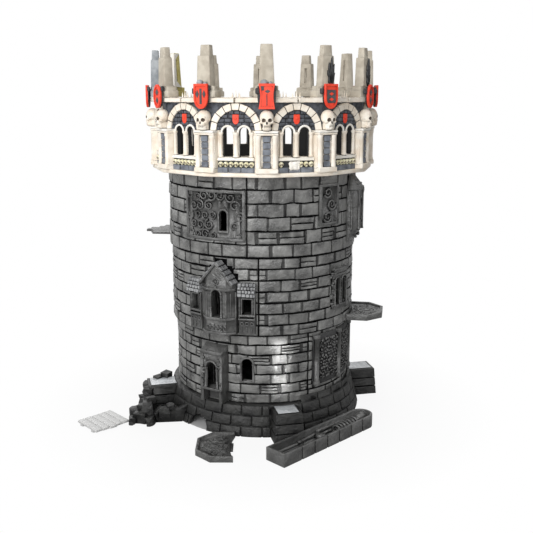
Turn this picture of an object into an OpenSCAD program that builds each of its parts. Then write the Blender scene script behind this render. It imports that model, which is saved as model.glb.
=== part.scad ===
// Round ruined tower for tabletop games, at 28 mm figure scale.
// Three stone storeys stand on a battered plinth and carry a roofless gallery of twelve bays.
// The storeys lift off each other, a balcony plugs into the wall, and three pieces lie around the foot.
// Angles run round the tower's axis from the front (-Y) towards the right (+X).

/* [Plinth] */
// Height of the plinth from the table to the top of its coping
plinth_h = 29; // [26:1:34]
// How far the top of the plinth stands out from the ground storey
plinth_step = 5; // [4:0.5:8]
// How far the foot of the plinth spreads beyond its top
plinth_batter = 7; // [4:0.5:10]
// Thickness of the plinth's shell behind its stones
plinth_t = 3; // [2.5:0.1:5]
// Courses of stone in the plinth
plinth_courses = 3; // [2:1:4]
// Angle of the culvert's middle
culvert_a = -39.5; // [-43:0.5:-37]
// Width of the culvert's arch
culvert_w = 23; // [18:0.5:25]
// Height of the culvert's arch
culvert_h = 13; // [12.5:0.5:16]
// Angle of the front buttress, the others follow at quarter turns
buttress_a = 13; // [8:1:16]
// Width of a buttress at its top
buttress_w = 25; // [20:0.5:28]
// How far the top of a buttress stays below the plinth's top
buttress_drop = 1.5; // [1:0.5:5]
// How far the front and rear buttresses reach beyond the plinth's foot
short_reach = 14; // [10:0.5:18]
// How far the two side buttresses reach beyond the plinth's foot
long_reach = 22; // [17:0.5:27]
// How far a buttress spreads at its foot on each side
buttress_spread = 2; // [1:0.5:4]
// Height of the loose coping stones on the plinth's right side
coping_h = 8; // [5:0.5:10]
// Angle at which the broken wall meets the plinth
ruin_a = -54; // [-56:0.5:-53]
// Direction in which the broken wall runs
ruin_dir = -84; // [-88:1:-80]
// Length of the broken wall
ruin_l = 38; // [32:1:42]
// Height of the tallest stump on the broken wall
ruin_h = 21; // [16:1:26]
// Thickness of the broken wall
ruin_t = 8; // [6:0.5:10]

/* [Storeys] */
// Radius over the stone faces of the ground storey
ground_r = 88; // [85:0.5:90]
// How far the middle storey stands out from the ground storey
middle_step = 3.5; // [2:0.5:5]
// How far the upper storey stands out from the middle storey
upper_step = 1.5; // [0.5:0.5:3]
// Height of the ground storey above the plinth
ground_h = 67; // [65:1:73]
// Height of the middle storey
middle_h = 74; // [73:1:84]
// Height of the upper storey
upper_h = 74; // [73:1:84]
// Thickness of a storey's wall from stone face to inside
wall_t = 4.5; // [4:0.1:6]
// Thickness of a storey's floor
floor_t = 2.5; // [2:0.1:4]
// Width of the ledge that a floor rests on
ledge_w = 1.5; // [1:0.1:2.5]
// Height of the ledge that a floor rests on
ledge_h = 2; // [1.5:0.1:3]
// How deep a storey's spigot drops into the storey below
spigot_h = 3; // [2:0.5:5]
// Clearance round a spigot
fit_gap = 0.4; // [0.3:0.05:0.8]
// Gap between a floor's edge and the wall it is glued to
glue_gap = 0.15; // [0.1:0.05:0.3]

/* [Stonework] */
// Length of a typical stone
stone_l = 21; // [17:0.5:25]
// Courses in the ground storey
ground_courses = 7; // [6:1:8]
// Courses in the middle storey
middle_courses = 7; // [6:1:8]
// Courses in the upper storey
upper_courses = 6; // [5:1:7]
// Width of the joints between stones
joint_w = 1; // [0.6:0.1:1.4]
// Depth of the joints between stones
joint_depth = 1.2; // [0.8:0.1:1.6]
// How far a stone's face may stand back from its neighbours
stone_relief = 0.5; // [0.1:0.1:0.8]
// Share of a stone's length by which upright joints wander
joint_wander = 0.36; // [0:0.02:0.5]
// Bevel along a stone's upright edges
stone_bevel = 0.5; // [0.3:0.1:0.8]
// How many times wider an open joint is than the others
open_joint = 2.6; // [1.5:0.1:3]
// Share of the upright joints that are open
open_share = 0.22; // [0:0.02:0.4]
// Share of the stones that are split into thin ones
split_share = 0.2; // [0:0.02:0.4]

/* [Ground storey] */
// Angle of the small bay
porch_a = -29.5; // [-33:0.5:-26]
// Width of the small bay
porch_w = 24; // [22:0.5:26]
// How far the small bay stands out
porch_out = 9; // [6:0.5:10]
// Height of the bay's foot above the plinth
porch_z = 1; // [0.5:0.5:3]
// Height of the bay's body
porch_h = 47; // [44:0.5:50]
// Width of the bay's opening
porch_open_w = 11.5; // [9:0.5:13]
// Height of the bay's opening
porch_open_h = 25.5; // [20:0.5:28]
// Height of the sill above the bay's foot
porch_sill = 14; // [12:0.5:16]
// Height of the stone hood over the bay
porch_hood_h = 8; // [6:0.5:10]
// Angle of the small window
light_a = -9.3; // [-11:0.1:-6]
// Width of the small window
light_w = 10.5; // [8:0.5:12]
// Height of the small window
light_h = 22; // [18:0.5:26]
// Height of the small window's sill above the plinth
light_z = 22.5; // [19:0.5:26]
// Angle of the middle column of the blind arcade
arcade_a = 57.5; // [56:0.5:60]
// Angle between the arcade's columns
arcade_pitch = 21.5; // [18:0.5:23]
// Height of the arcade above the plinth
arcade_h = 50; // [44:0.5:53]
// Radius of the arcade's columns
arcade_column_r = 2.8; // [2:0.1:3.4]

/* [Middle storey] */
// Angle of the gabled bay
gable_a = -24.6; // [-26:0.2:-23]
// Width of the gabled bay at the wall
gable_w = 34; // [31:0.5:34.5]
// Width of the gabled bay's front, between its canted sides
gable_front_w = 20; // [17:0.5:23]
// How far the gabled bay stands out
gable_out = 9.5; // [8:0.5:11]
// Height of the gabled bay's foot above the floor line
gable_z = 3; // [2:0.5:5]
// Height of the gabled bay from its foot to its eaves
gable_eave = 45; // [43:0.5:47]
// Rise of the gable from its eaves to its ridge
gable_rise = 20; // [14:0.5:22]
// Width of the gabled bay's opening
gable_open_w = 9.5; // [7:0.5:11]
// Height of the gabled bay's opening
gable_open_h = 26; // [20:0.5:28]
// Height of the opening's sill above the bay's foot
gable_sill = 16; // [12:0.5:18]
// Thickness of the gable's roof
gable_roof_t = 2.4; // [1.6:0.1:3.5]
// How far the gable's roof hangs over at its front
gable_overhang = 1.6; // [1:0.2:2.6]
// Rows of tiles on each slope of the gable's roof
gable_tiles = 5; // [4:1:6]
// How far a row of tiles stands over the row below
gable_lap = 1; // [0.6:0.1:1.6]
// Gap between the gabled bay and each side window
side_gap = 0.5; // [0.3:0.1:1.5]
// Width of a side window's frame
side_window_w = 15; // [13:0.5:15.5]
// Height of a side window's frame
side_window_h = 38; // [34:0.5:42]
// How far a side window's frame stands out
side_window_out = 3.6; // [2:0.1:5]
// Width of a side window's opening
side_open_w = 8.5; // [6:0.5:10]
// Height of a side window's opening
side_open_h = 14.5; // [10:0.5:17]
// Height of a side window's sill above its foot
side_sill = 19; // [15:0.5:22]
// Rows of tiles on a side window's hood
tile_rows = 3; // [2:1:4]
// Angle of the ruined double window
ruined_a = 54; // [52:0.5:58]
// Width of the ruined window's frame
ruined_w = 27; // [24:0.5:30]
// Height of the ruined window's frame
ruined_h = 40; // [36:0.5:44]
// Height of the ruined window's foot above the floor line
ruined_z = 18; // [16:0.5:22]

/* [Balconies] */
// Angle of the balcony that is plugged into the wall
balcony_a = 80; // [77:0.5:82]
// Width of a balcony along the wall
balcony_w = 52; // [44:0.5:56]
// How far a balcony reaches out from the wall
balcony_d = 31; // [27:0.5:34]
// Corner cut from each front corner of a balcony
balcony_corner = 14; // [10:0.5:17]
// Thickness of a balcony's slab
balcony_t = 4; // [3.5:0.1:5]
// Height of the rim along a balcony's edge
balcony_rim_h = 1.8; // [1:0.1:3]
// Width of the rim along a balcony's edge
balcony_rim_w = 2.4; // [1.5:0.1:3.5]
// Height of the plugged balcony's underside above the floor line
balcony_z = 1.6; // [1.2:0.2:3]
// Width of a balcony's plug
plug_w = 14; // [10:0.5:18]
// Length of a balcony's plug
plug_l = 2.8; // [2:0.1:3.2]
// Thickness of a balcony's plug
plug_t = 2.2; // [1.6:0.1:2.8]
// Clearance round a balcony's plug
plug_gap = 0.3; // [0.25:0.05:0.5]

/* [Upper storey] */
// Angle of the large relief panel
relief_a = -28.8; // [-30:0.2:-28]
// Angle that the large relief panel takes up
relief_deg = 39; // [34:0.5:40]
// Height of the large relief panel
relief_h = 46; // [40:0.5:50]
// Height of the large relief panel's foot above the floor line
relief_z = 15; // [13:0.5:18]
// Angle of the lancet in the relief panel
lancet_a = -22.3; // [-24:0.1:-20]
// Width of the lancet in the relief panel
lancet_w = 7.5; // [5:0.5:9]
// Height of the lancet in the relief panel
lancet_h = 18.5; // [14:0.5:22]
// Height of the lancet's sill above the panel's foot
lancet_sill = 9; // [7:0.5:12]
// Angle of the narrow relief panel
side_relief_a = 41.5; // [40:0.5:43]
// Angle that the narrow relief panel takes up
side_relief_deg = 15; // [12:0.5:17]
// Height of the narrow relief panel
side_relief_h = 38; // [34:0.5:42]
// Height of the narrow relief panel's foot above the floor line
side_relief_z = 27; // [24:0.5:28]
// Depth of the frame round a relief panel
frame_out = 1.1; // [0.6:0.1:2]
// Width of the frame round a relief panel
frame_w = 2.6; // [1.6:0.1:3.6]
// Angle of the oriel
oriel_a = 68; // [66:0.5:70]
// Width of the oriel
oriel_w = 25; // [21:0.5:27]
// How far the oriel stands out
oriel_out = 8.5; // [5:0.5:10]
// Height of the oriel's body
oriel_h = 38; // [34:0.5:42]
// Height of the oriel's body above the floor line
oriel_z = 18; // [16:0.5:20]
// Height of the oriel's roof
oriel_roof_h = 14; // [8:0.5:15]
// Angle of the plank landing
landing_a = -97; // [-100:0.5:-95]
// Planks in the landing
landing_planks = 6; // [5:1:8]
// Width of a plank
plank_w = 7.4; // [5:0.2:8]
// Thickness of a plank
plank_t = 2.2; // [1.6:0.1:3]
// How far the longest plank of the landing reaches from the wall
landing_l = 27; // [20:0.5:30]
// Height of the landing above the floor line
landing_z = 8; // [6:0.5:10]

/* [Gallery] */
// Angle from the front to the nearest pier
gallery_turn = 2.2; // [0:0.1:5]
// Number of bays
bays = 12; // [10:1:14]
// How far the bays' outer face stands out from the upper storey
bay_step = 7; // [6:0.5:9]
// Thickness of a bay's panel
bay_t = 4; // [3:0.1:5.5]
// Height of the gallery from its underside to the top of its cornice
gallery_h = 68; // [66:0.5:74]
// Thickness of the gallery's rim
rim_t = 3.5; // [2.5:0.1:5]
// How far the rim stands out from the bays
rim_out = 4.5; // [3:0.1:6]
// Height of the sill's top above the gallery's underside
sill_z = 17; // [16:0.5:19]
// Thickness of the sill
sill_t = 3.2; // [2:0.1:4]
// Radius of a small skull in the frieze
frieze_r = 2.3; // [1.8:0.05:2.6]
// Small skulls in each bay's frieze
frieze_skulls = 7; // [5:1:7]
// Width of a lancet window
window_w = 9.2; // [7:0.1:10]
// Distance between the middles of a bay's two lancets
window_pitch = 14.6; // [14:0.1:15.4]
// Height of a lancet from the sill to its crown
window_h = 26; // [22:0.5:27]
// Height of the big arch's springing above the gallery's underside
spring_z = 40; // [38:0.5:41]
// Inner radius of the big arch
arch_in = 17; // [15:0.25:17.5]
// Width of the big arch's stones
arch_w = 5.5; // [4:0.25:6.5]
// How far the big arch stands out from its bay
arch_out = 2.8; // [1.5:0.1:3.5]
// Wedge stones in the big arch
arch_stones = 9; // [7:2:11]
// Rows of brick in the head of the big arch
brick_rows = 5; // [4:1:6]
// Length of a brick
brick_l = 7; // [5:0.25:9]
// How far the bricks stand out from the bay
brick_out = 0.8; // [0.4:0.1:1.2]
// Width of a pier
pier_w = 20; // [16:0.5:21]
// How far a pier stands out from the corner of two bays
pier_out = 4.5; // [3:0.1:6]
// Radius of a pier's two half columns
pier_column_r = 2.8; // [2:0.1:3.4]
// Height of a skull capital
skull_h = 17.5; // [15:0.25:18]
// Height of the cornice
cornice_h = 5; // [4:0.25:6]
// How far the cornice stands out from the bays
cornice_out = 6; // [5:0.25:8]
// Height of a spike on the cornice
spike_h = 6; // [3:0.5:9]
// Width of an obelisk's pedestal
pedestal_w = 22; // [18:0.5:24]
// Height of an obelisk's pedestal
pedestal_h = 9.5; // [7:0.5:12]
// Width of an obelisk at its foot
obelisk_w = 13.5; // [10:0.5:15]
// Depth of an obelisk at its foot
obelisk_d = 9; // [7:0.5:10]
// Height of an obelisk above its pedestal
obelisk_h = 34; // [26:0.5:40]
// Width of a large shield
shield_w = 14; // [11:0.5:16]
// Height of a large shield
shield_h = 21; // [17:0.5:24]
// Thickness of a large shield
shield_t = 2.2; // [1.4:0.1:3]
// Width of a small shield
badge_w = 5.6; // [4:0.2:7]

/* [Loose pieces] */
// Angle at which the loose balcony lies
loose_a = -19.5; // [-22:0.5:-16]
// Direction that the loose balcony's front faces
loose_turn = -90; // [-100:1:-80]
// Free space between the plinth's foot and the loose balcony
loose_clear = 6; // [3:0.5:12]
// Length of the tomb
tomb_l = 129; // [115:1:142]
// Width of the tomb
tomb_w = 22.5; // [20:0.5:26]
// Height of the tomb's walls
tomb_h = 12.5; // [10:0.5:14]
// Thickness of the tomb's walls
tomb_t = 2.4; // [1.6:0.1:3]
// Direction that the tomb's long side faces
tomb_a = 44.5; // [42:0.5:47]
// Free space between the front buttress and the tomb
tomb_clear = 1; // [0.5:0.5:4]
// How far the tomb is pushed along towards the right
tomb_slide = -34.5; // [-38:0.5:-28]
// Angle at which the plank platform lies
platform_a = -66.5; // [-70:0.5:-63]
// Free space between the broken wall and the plank platform
platform_clear = 14; // [10:1:20]
// Planks in the platform
platform_planks = 5; // [4:1:7]
// Length of the platform's planks
platform_l = 35; // [28:0.5:42]
// Direction of the platform's planks
platform_turn = 20; // [0:1:40]
// Height of the battens under the platform
batten_h = 2; // [1.5:0.1:4]
// Width of the battens under the platform
batten_w = 4; // [3:0.5:6]

/* [Hidden] */
$fn = 48;
ring_fn = 240;          // facets that a preview gives the tower's large curves

stone = "#484a4c";
cream = "#e8dcc8";
red = "#d8402c";
black = "#202122";
pale_wood = "#dededc";

past = 1;               // how far a cutting tool runs past what it cuts
bed = 0.15;             // how far the core stays behind the joints' floor
bite = 0.8;             // how deep the stones are bedded in the core
turn = 90;              // angle that one wall panel takes up
seams = [30, -2, -8.5]; // angle of one upright seam in each storey

middle_r = ground_r + middle_step;
upper_r = middle_r + upper_step;
bay_apothem = upper_r + bay_step;   // distance from the axis to the bays' outer face
storey_r = [ground_r, middle_r, upper_r];
storey_h = [ground_h, middle_h, upper_h];
storey_courses = [ground_courses, middle_courses, upper_courses];
middle_z = plinth_h + ground_h;
upper_z = middle_z + middle_h;
gallery_z = upper_z + upper_h;
storey_z = [plinth_h, middle_z, upper_z];

buttress_h = plinth_h - buttress_drop;
top_r = ground_r + plinth_step;
foot_r = top_r + plinth_batter;

function inner_r(s) = storey_r[s] - wall_t;
function core_r(s) = storey_r[s] - joint_depth - bed;
function bore_r(s) = s == 0 ? inner_r(0) : min(inner_r(s - 1), inner_r(s) - ledge_w);
function at(a, r) = [r * sin(a), -r * cos(a)];
function arc_deg(w, r) = w / r * 180 / PI;
function chance(seed) = rands(0, 1, 1, seed)[0];
function arc(r, a0, a1, n) = [for (i = [0:n]) at(a0 + (a1 - a0) * i / n, r)];

// Turns what faces the front to an angle, at a storey's floor line
module place(s, a) {
  translate([0, 0, storey_z[s]])
    rotate([0, 0, a])
      children();
}

// Part of a ring with a cross-section of radius and height
module swept(points, a0, a1) {
  rotate([0, 0, a0 - 90])
    rotate_extrude(angle = a1 - a0, $fn = ring_fn)
      polygon(points);
}

// Part of a plain ring
module sector(r0, r1, z0, z1, a0, a1) {
  swept([[r0, z0], [r1, z0], [r1, z1], [r0, z1]], a0, a1);
}

// A wedge of the wall's stones that makes room for an inserted piece
module pocket(s, a, half_deg, z0, z1) {
  deep = core_r(s) - 2 * bite;
  far = storey_r[s] + 2 * past;
  translate([0, 0, z0])
    linear_extrude(z1 - z0)
      polygon(concat(
        [at(a - half_deg, deep)],
        arc(far, a - half_deg, a + half_deg, 8),
        [at(a + half_deg, deep)]
      ));
}

// An opening with a round head, its sill at z = 0, running back along +Y
module arch_prism(w, h, d) {
  translate([-w / 2, 0, 0])
    cube([w, d, h - w / 2]);
  translate([0, 0, h - w / 2])
    rotate([-90, 0, 0])
      cylinder(d = w, h = d);
}

// A round-headed or square opening right through a storey's wall
module wall_opening(s, a, z, w, h, round_head) {
  rotate([0, 0, a])
    translate([0, -storey_r[s] - past, z])
      if (round_head) arch_prism(w, h, wall_t + ledge_w + 2 * past);
      else translate([-w / 2, 0, 0]) cube([w, wall_t + ledge_w + 2 * past, h]);
}

// A body that stands out from a storey's wall, with its back on the wall's core
module on_wall(s) {
  difference() {
    children();
    translate([0, 0, -past])
      cylinder(r = core_r(s), h = storey_h[s] + gallery_h, $fn = ring_fn);
  }
}

// A box that is centred across the front of the wall, reaching out from the core
module wall_box(s, w, z0, z1, out, x = 0) {
  back = core_r(s) - 2 * bite;
  translate([x - w / 2, -storey_r[s] - out, z0])
    cube([w, storey_r[s] + out - back, z1 - z0]);
}

function half_deg(s, w) = asin(w / 2 / core_r(s));

// Where inserted pieces take the place of stones: angle, half angle, lowest and highest level
function pockets(s) =
  s == 0 ? [
    [porch_a, half_deg(0, porch_w), porch_z, porch_z + porch_h + porch_hood_h],
    [arcade_a, arcade_half, arcade_z, arcade_z + arcade_h]
  ] : s == 1 ? [
    for (i = [0:2])
      [gable_a, half_deg(1, gable_w * (1 - i / 3) + (i > 0 ? 2 * joint_w : 0)), gable_z,
        gable_z + gable_eave + gable_rise * (i + 1) / 3 + gable_roof_t + gable_lap + joint_w],
    [gable_a - side_turn, half_deg(1, side_window_w), gable_z, gable_z + side_top],
    [gable_a + side_turn, half_deg(1, side_window_w), gable_z, gable_z + side_top],
    [ruined_a, half_deg(1, ruined_w), ruined_z, ruined_z + ruined_h]
  ] : [
    [relief_a, relief_deg / 2, relief_z, relief_z + relief_h],
    [side_relief_a, side_relief_deg / 2, side_relief_z, side_relief_z + side_relief_h],
    [oriel_a, half_deg(2, oriel_w), oriel_z - oriel_corbel_h, oriel_z + oriel_h + oriel_roof_h],
    [landing_a, half_deg(2, landing_w), landing_z, landing_z + plank_t]
  ];

// Openings through a storey's wall: angle, sill, width, height and whether the head is round
function openings(s) =
  s == 0 ? [
    [porch_a, porch_z + porch_sill, porch_open_w, porch_open_h, true],
    [light_a, light_z, light_w, light_h, true]
  ] : s == 1 ? [
    [gable_a, gable_z + gable_sill, gable_open_w, gable_open_h, true],
    [gable_a - side_turn, gable_z + side_sill, side_open_w, side_open_h, false],
    [gable_a + side_turn, gable_z + side_sill, side_open_w, side_open_h, false],
    [ruined_a - ruined_half, ruined_z + ruined_sill, ruined_open_w, ruined_open_h, true],
    [ruined_a + ruined_half, ruined_z + ruined_sill, ruined_open_w, ruined_open_h, true]
  ] : [
    [lancet_a, relief_z + lancet_sill, lancet_w, lancet_h, true],
    [lancet_a + 180, relief_z + lancet_sill, lancet_w, lancet_h, true],
    [oriel_a, oriel_z + oriel_sill, oriel_open_w, oriel_open_h, true]
  ];

arcade_z = coping_h + 5;   // clear of the coping
arcade_cap_out = 0.7;
arcade_half = arcade_pitch + arc_deg(arcade_column_r + arcade_cap_out + joint_w, ground_r);
tile_h = 3.2;
side_top = side_window_h + tile_rows * tile_h;
side_back = core_r(1) - 2 * bite;
side_turn = asin((gable_w / 2 + side_gap) / norm([side_back, side_window_w / 2]))
  + atan(side_window_w / 2 / side_back);
ruined_sill = 4;
ruined_open_w = 8;
ruined_open_h = 27;
ruined_mullion = 4;
ruined_half = half_deg(1, ruined_open_w + ruined_mullion);
oriel_corbel_h = 11;
oriel_steps = 3;
oriel_cheek = 0.35;     // share of its depth that the oriel's sides stand out
oriel_eave = 1.6;       // height and overhang of the oriel's eaves
oriel_sill = 9;
oriel_open_w = 8;
oriel_open_h = 22;
landing_w = landing_planks * plank_w;

// Places of the upright joints in one course, as shares of the panel's angle
function joints(n, odd, seed) = [
  0,
  for (i = [0:n - 2 + odd]) (i + (odd == 1 ? 0.5 : 1) + joint_wander * (chance(seed + i) - 0.5)) / n,
  1
];

// Half the width of one upright joint as an angle: some joints inside a panel stand open
function joint_half(r, i, last, seed) =
  arc_deg(joint_w / 2, r) * (i > 0 && i <= last && chance(seed + 13 * i) < open_share ? open_joint : 1);

// Stones of one course: both ends as angles, radius of the face, and how many thin stones it splits into
function course_stones(r, a0, a1, n, odd, seed) =
  let (
    edges = [for (j = joints(n, odd, seed)) a0 + (a1 - a0) * j],
    last = len(edges) - 2
  )
  [for (i = [0:last]) [
    edges[i] + joint_half(r, i, last, seed),
    edges[i + 1] - joint_half(r, i + 1, last, seed),
    r - stone_relief * chance(seed + 71 * i),
    chance(seed + 29 * i) < split_share ? 2 + floor(2 * chance(seed + 31 * i)) : 1
  ]];

// Front of one stone between two angles, its upright edges bevelled
function stone_front(r, l, e, face) =
  let (bevel = arc_deg(stone_bevel, r))
  [
    at(l, face - stone_bevel), at(l + bevel, face), at((l + e) / 2, face),
    at(e - bevel, face), at(e, face - stone_bevel)
  ];

// Plan of one course: whole stones standing on the joints' floor, then the bedded back
function course_plan(r, stones) =
  let (floor_r = r - joint_depth, back_r = floor_r - bed - bite)
  concat(
    [for (s = stones) each concat(
      [at(s[0], floor_r)],
      s[3] == 1 ? stone_front(r, s[0], s[1], s[2]) : [at((s[0] + s[1]) / 2, floor_r)],
      [at(s[1], floor_r)]
    )],
    arc(back_r, stones[len(stones) - 1][1], stones[0][0], 12)
  );

// All the courses of one wall panel
module courses(s, a0, a1) {
  r = storey_r[s];
  pitch = storey_h[s] / storey_courses[s];
  h = pitch - joint_w;
  n = round(turn / arc_deg(stone_l, r));
  for (c = [0:storey_courses[s] - 1]) {
    stones = course_stones(r, a0, a1, n, c % 2, 1000 * s + 97 * c + a0);
    translate([0, 0, c * pitch + joint_w / 2]) {
      linear_extrude(h)
        polygon(course_plan(r, stones));
      for (p = stones)
        if (p[3] > 1) thin_stones(r, p, h);
    }
  }
}

// Thin stones that take the place of one whole stone, bedded in the course's floor
module thin_stones(r, p, h) {
  step = h / p[3];
  root = r - joint_depth - bite / 2;
  for (i = [0:p[3] - 1])
    translate([0, 0, i * step + bed])
      linear_extrude(step - joint_w / 2 - bed)
        polygon(concat(
          [at(p[0] + 0.1, root)],
          stone_front(r, p[0] + 0.1, p[1] - 0.1 - chance(i + p[0]), p[2] - stone_relief * (i % 2)),
          [at(p[1] - 0.1 - chance(i + p[0]), root)]
        ));
}

// One quarter of a storey's wall: a smooth core with stones bedded on it
module wall_panel(s, k) {
  a0 = seams[s] + turn * (k - 1);
  a1 = a0 + turn;
  lip = s == 0 ? [] : [[inner_r(s), ledge_h], [bore_r(s), ledge_h]];
  color(stone)
    translate([0, 0, storey_z[s]])
      difference() {
        union() {
          swept(concat(
            [[bore_r(s), 0], [core_r(s), 0], [core_r(s), storey_h[s]]],
            [[inner_r(s), storey_h[s]]],
            lip
          ), a0, a1);
          difference() {
            courses(s, a0, a1);
            for (p = pockets(s))
              if (reaches(p[0], p[1], a0, a1)) pocket(s, p[0], p[1], p[2], p[3]);
          }
        }
        for (o = openings(s))
          if (reaches(o[0], half_deg(s, o[2]), a0, a1)) wall_opening(s, o[0], o[1], o[2], o[3], o[4]);
        if (s == 1 && reaches(balcony_a, half_deg(s, plug_w), a0, a1)) plug_socket();
      }
}

// Whether a piece at angle a that spreads h to each side touches a panel from a0 to a1
function reaches(a, h, a0, a1) = abs(wrap(a - (a0 + a1) / 2)) < (a1 - a0) / 2 + h;
function wrap(a) = a - 360 * round(a / 360);

// Socket in the middle storey that takes a balcony's plug
module plug_socket() {
  rotate([0, 0, balcony_a])
    translate([-plug_w / 2 - plug_gap, -middle_r - past, balcony_z + plug_up - plug_gap])
      cube([plug_w + 2 * plug_gap, past + plug_l + plug_gap, plug_t + 2 * plug_gap]);
}

// Plinth

function batter_r(z) = foot_r - plinth_batter * z / plinth_h;

// Battered ring of stones on a hollow shell, with a flange that carries the ground storey
module plinth() {
  set_back = joint_depth + bed;
  course_h = plinth_h / plinth_courses;
  n = round(360 / arc_deg(stone_l, foot_r));
  color(stone)
    difference() {
      union() {
        rotate_extrude($fn = ring_fn)
          polygon([
            [foot_r - set_back - plinth_t, 0], [foot_r - set_back, 0],
            [top_r - set_back, plinth_h], [inner_r(0), plinth_h],
            [inner_r(0), plinth_h - plinth_t], [top_r - set_back - plinth_t, plinth_h - plinth_t]
          ]);
        difference() {
          for (c = [0:plinth_courses - 1])
            for (i = [0:n - 1])
              plinth_stone(c * course_h, course_h, (i + 0.5 * (c % 2)) * 360 / n, 360 / n, c * 50 + i);
          for (k = [0:3]) buttress_pocket(k);
        }
        for (i = [0:n / 3]) coping_stone(seams[0] + (i - 0.5) * 360 / n, 360 / n, i);
      }
      culvert(culvert_w, culvert_h);
    }
}

// One stone of the plinth
module plinth_stone(z, h, a, deg, seed) {
  gap = arc_deg(joint_w / 2, foot_r);
  z0 = z == 0 ? 0 : z + joint_w / 2;
  z1 = z + h - joint_w / 2;
  face = -stone_relief * chance(seed);
  back = joint_depth + bed + bite;
  swept([
    [batter_r(z0) - back, z0], [batter_r(z0) + face, z0],
    [batter_r(z1) + face, z1], [batter_r(z1) - back, z1]
  ], a + gap, a + deg - gap);
}

// One loose coping stone, clear of the wall behind it
module coping_stone(a, deg, seed) {
  gap = arc_deg(joint_w / 2, foot_r);
  h = coping_h * (0.65 + 0.35 * chance(seed + 300));
  r0 = ground_r + fit_gap;
  r1 = top_r - joint_depth - bed - set_in - stone_relief * chance(seed);
  translate([0, 0, plinth_h])
    swept([[r0, -bed], [r1, -bed], [r1 - stone_bevel, h], [r0, h]], a + gap, a + deg - gap);
}

// Round-headed passage through the plinth's side
module culvert(w, h) {
  rotate([0, 0, culvert_a])
    translate([0, -foot_r - past, -past])
      arch_prism(w, h + past, foot_r - inner_r(0));
}

// Buttresses

function reach(k) = foot_r + (k % 2 == 0 ? short_reach : long_reach);
buttress_foot_w = buttress_w + 2 * buttress_spread;
buttress_courses = 3;
plate_margin = 2.5;     // margin round the smooth plate on a buttress
plate_t = 0.7;
plate_w = buttress_w - 2 * plate_margin;

module buttress_pocket(k) {
  rotate([0, 0, buttress_a + turn * k])
    translate([-buttress_w / 2 - buttress_spread, -reach(k) - past, -past])
      cube([buttress_foot_w, reach(k) - ground_r, plinth_h + 2 * past]);
}

// Tapered block of three courses, its back on the plinth's shell
module buttress(k) {
  h = buttress_h / buttress_courses;
  set_back = joint_depth + bed;
  color(stone)
    difference() {
      rotate([0, 0, buttress_a + turn * k]) {
        for (c = [0:buttress_courses - 1])
          let (z0 = c * h, z1 = (c + 1) * h - (c < buttress_courses - 1 ? joint_w : 0))
            hull() {
              buttress_slice(k, z0);
              buttress_slice(k, z1);
            }
        translate([-buttress_w / 2 + joint_depth, -reach(k) + buttress_spread + joint_depth, 0])
          cube([buttress_w - 2 * joint_depth, reach(k) - ground_r, buttress_h - past]);
        translate([-plate_w / 2, -reach(k) + buttress_spread + plate_margin, buttress_h - past])
          cube([plate_w, reach(k) - ground_r, past + plate_t]);
      }
      cylinder(r1 = foot_r - set_back, r2 = top_r - set_back, h = plinth_h, $fn = ring_fn);
    }
}

// Thin slice of a buttress at one level
module buttress_slice(k, z) {
  spread = buttress_spread * (1 - z / buttress_h);
  thin = 0.01;
  w = buttress_w + 2 * spread;
  translate([-w / 2, -reach(k) + buttress_spread - spread, min(z, buttress_h - thin)])
    cube([w, reach(k) - ground_r, thin]);
}

// Broken wall beside the left buttress, with a stump and fallen stones on a low bed
module ruin_wall() {
  bed_h = 4;
  stump_w = ruin_t + 4;
  stone_r = ruin_t * 0.8;
  color(stone)
    difference() {
      translate([foot_r * sin(ruin_a), -foot_r * cos(ruin_a), 0])
        rotate([0, 0, ruin_dir - 90]) {
          translate([-ruin_t, ruin_t / 2, 0])
            rotate([90, 0, 0])
              linear_extrude(ruin_t)
                polygon([for (p = ruin_profile) [p[0] * (ruin_l + ruin_t), p[1] * ruin_h]]);
          translate([ruin_l - stump_w, -stump_w / 2, 0])
            hull() {
              cube([stump_w, stump_w, ruin_h * 0.6]);
              translate([1, 1.5, 0])
                cube([stump_w - 3, stump_w - 3, ruin_h]);
            }
          linear_extrude(bed_h)
            polygon([
              [0, 0], [ruin_l, 0], [ruin_l + stone_r * 2, -stump_w], [ruin_l, -stump_w * 2],
              [ruin_l * 0.6, -stump_w * 1.2]
            ]);
          for (spot = [[ruin_l + stone_r, -stump_w, 1], [ruin_l * 0.9, -stump_w * 1.6, 0.7]])
            translate([spot[0], spot[1], bed_h - bed])
              cylinder(r = stone_r * spot[2], h = stone_r * spot[2], $fn = 7);
        }
      cylinder(r1 = foot_r + glue_gap, r2 = top_r + glue_gap, h = plinth_h, $fn = ring_fn);
      buttress_pocket(3);
    }
}

// Outline of the broken wall, as shares of its length and height
ruin_profile = [
  [0, 0], [1, 0], [1, 0.7], [0.85, 0.8], [0.72, 0.5],
  [0.6, 0.72], [0.48, 0.55], [0.36, 0.8], [0.2, 0.62], [0, 0.9]
];

// Ground storey

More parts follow.
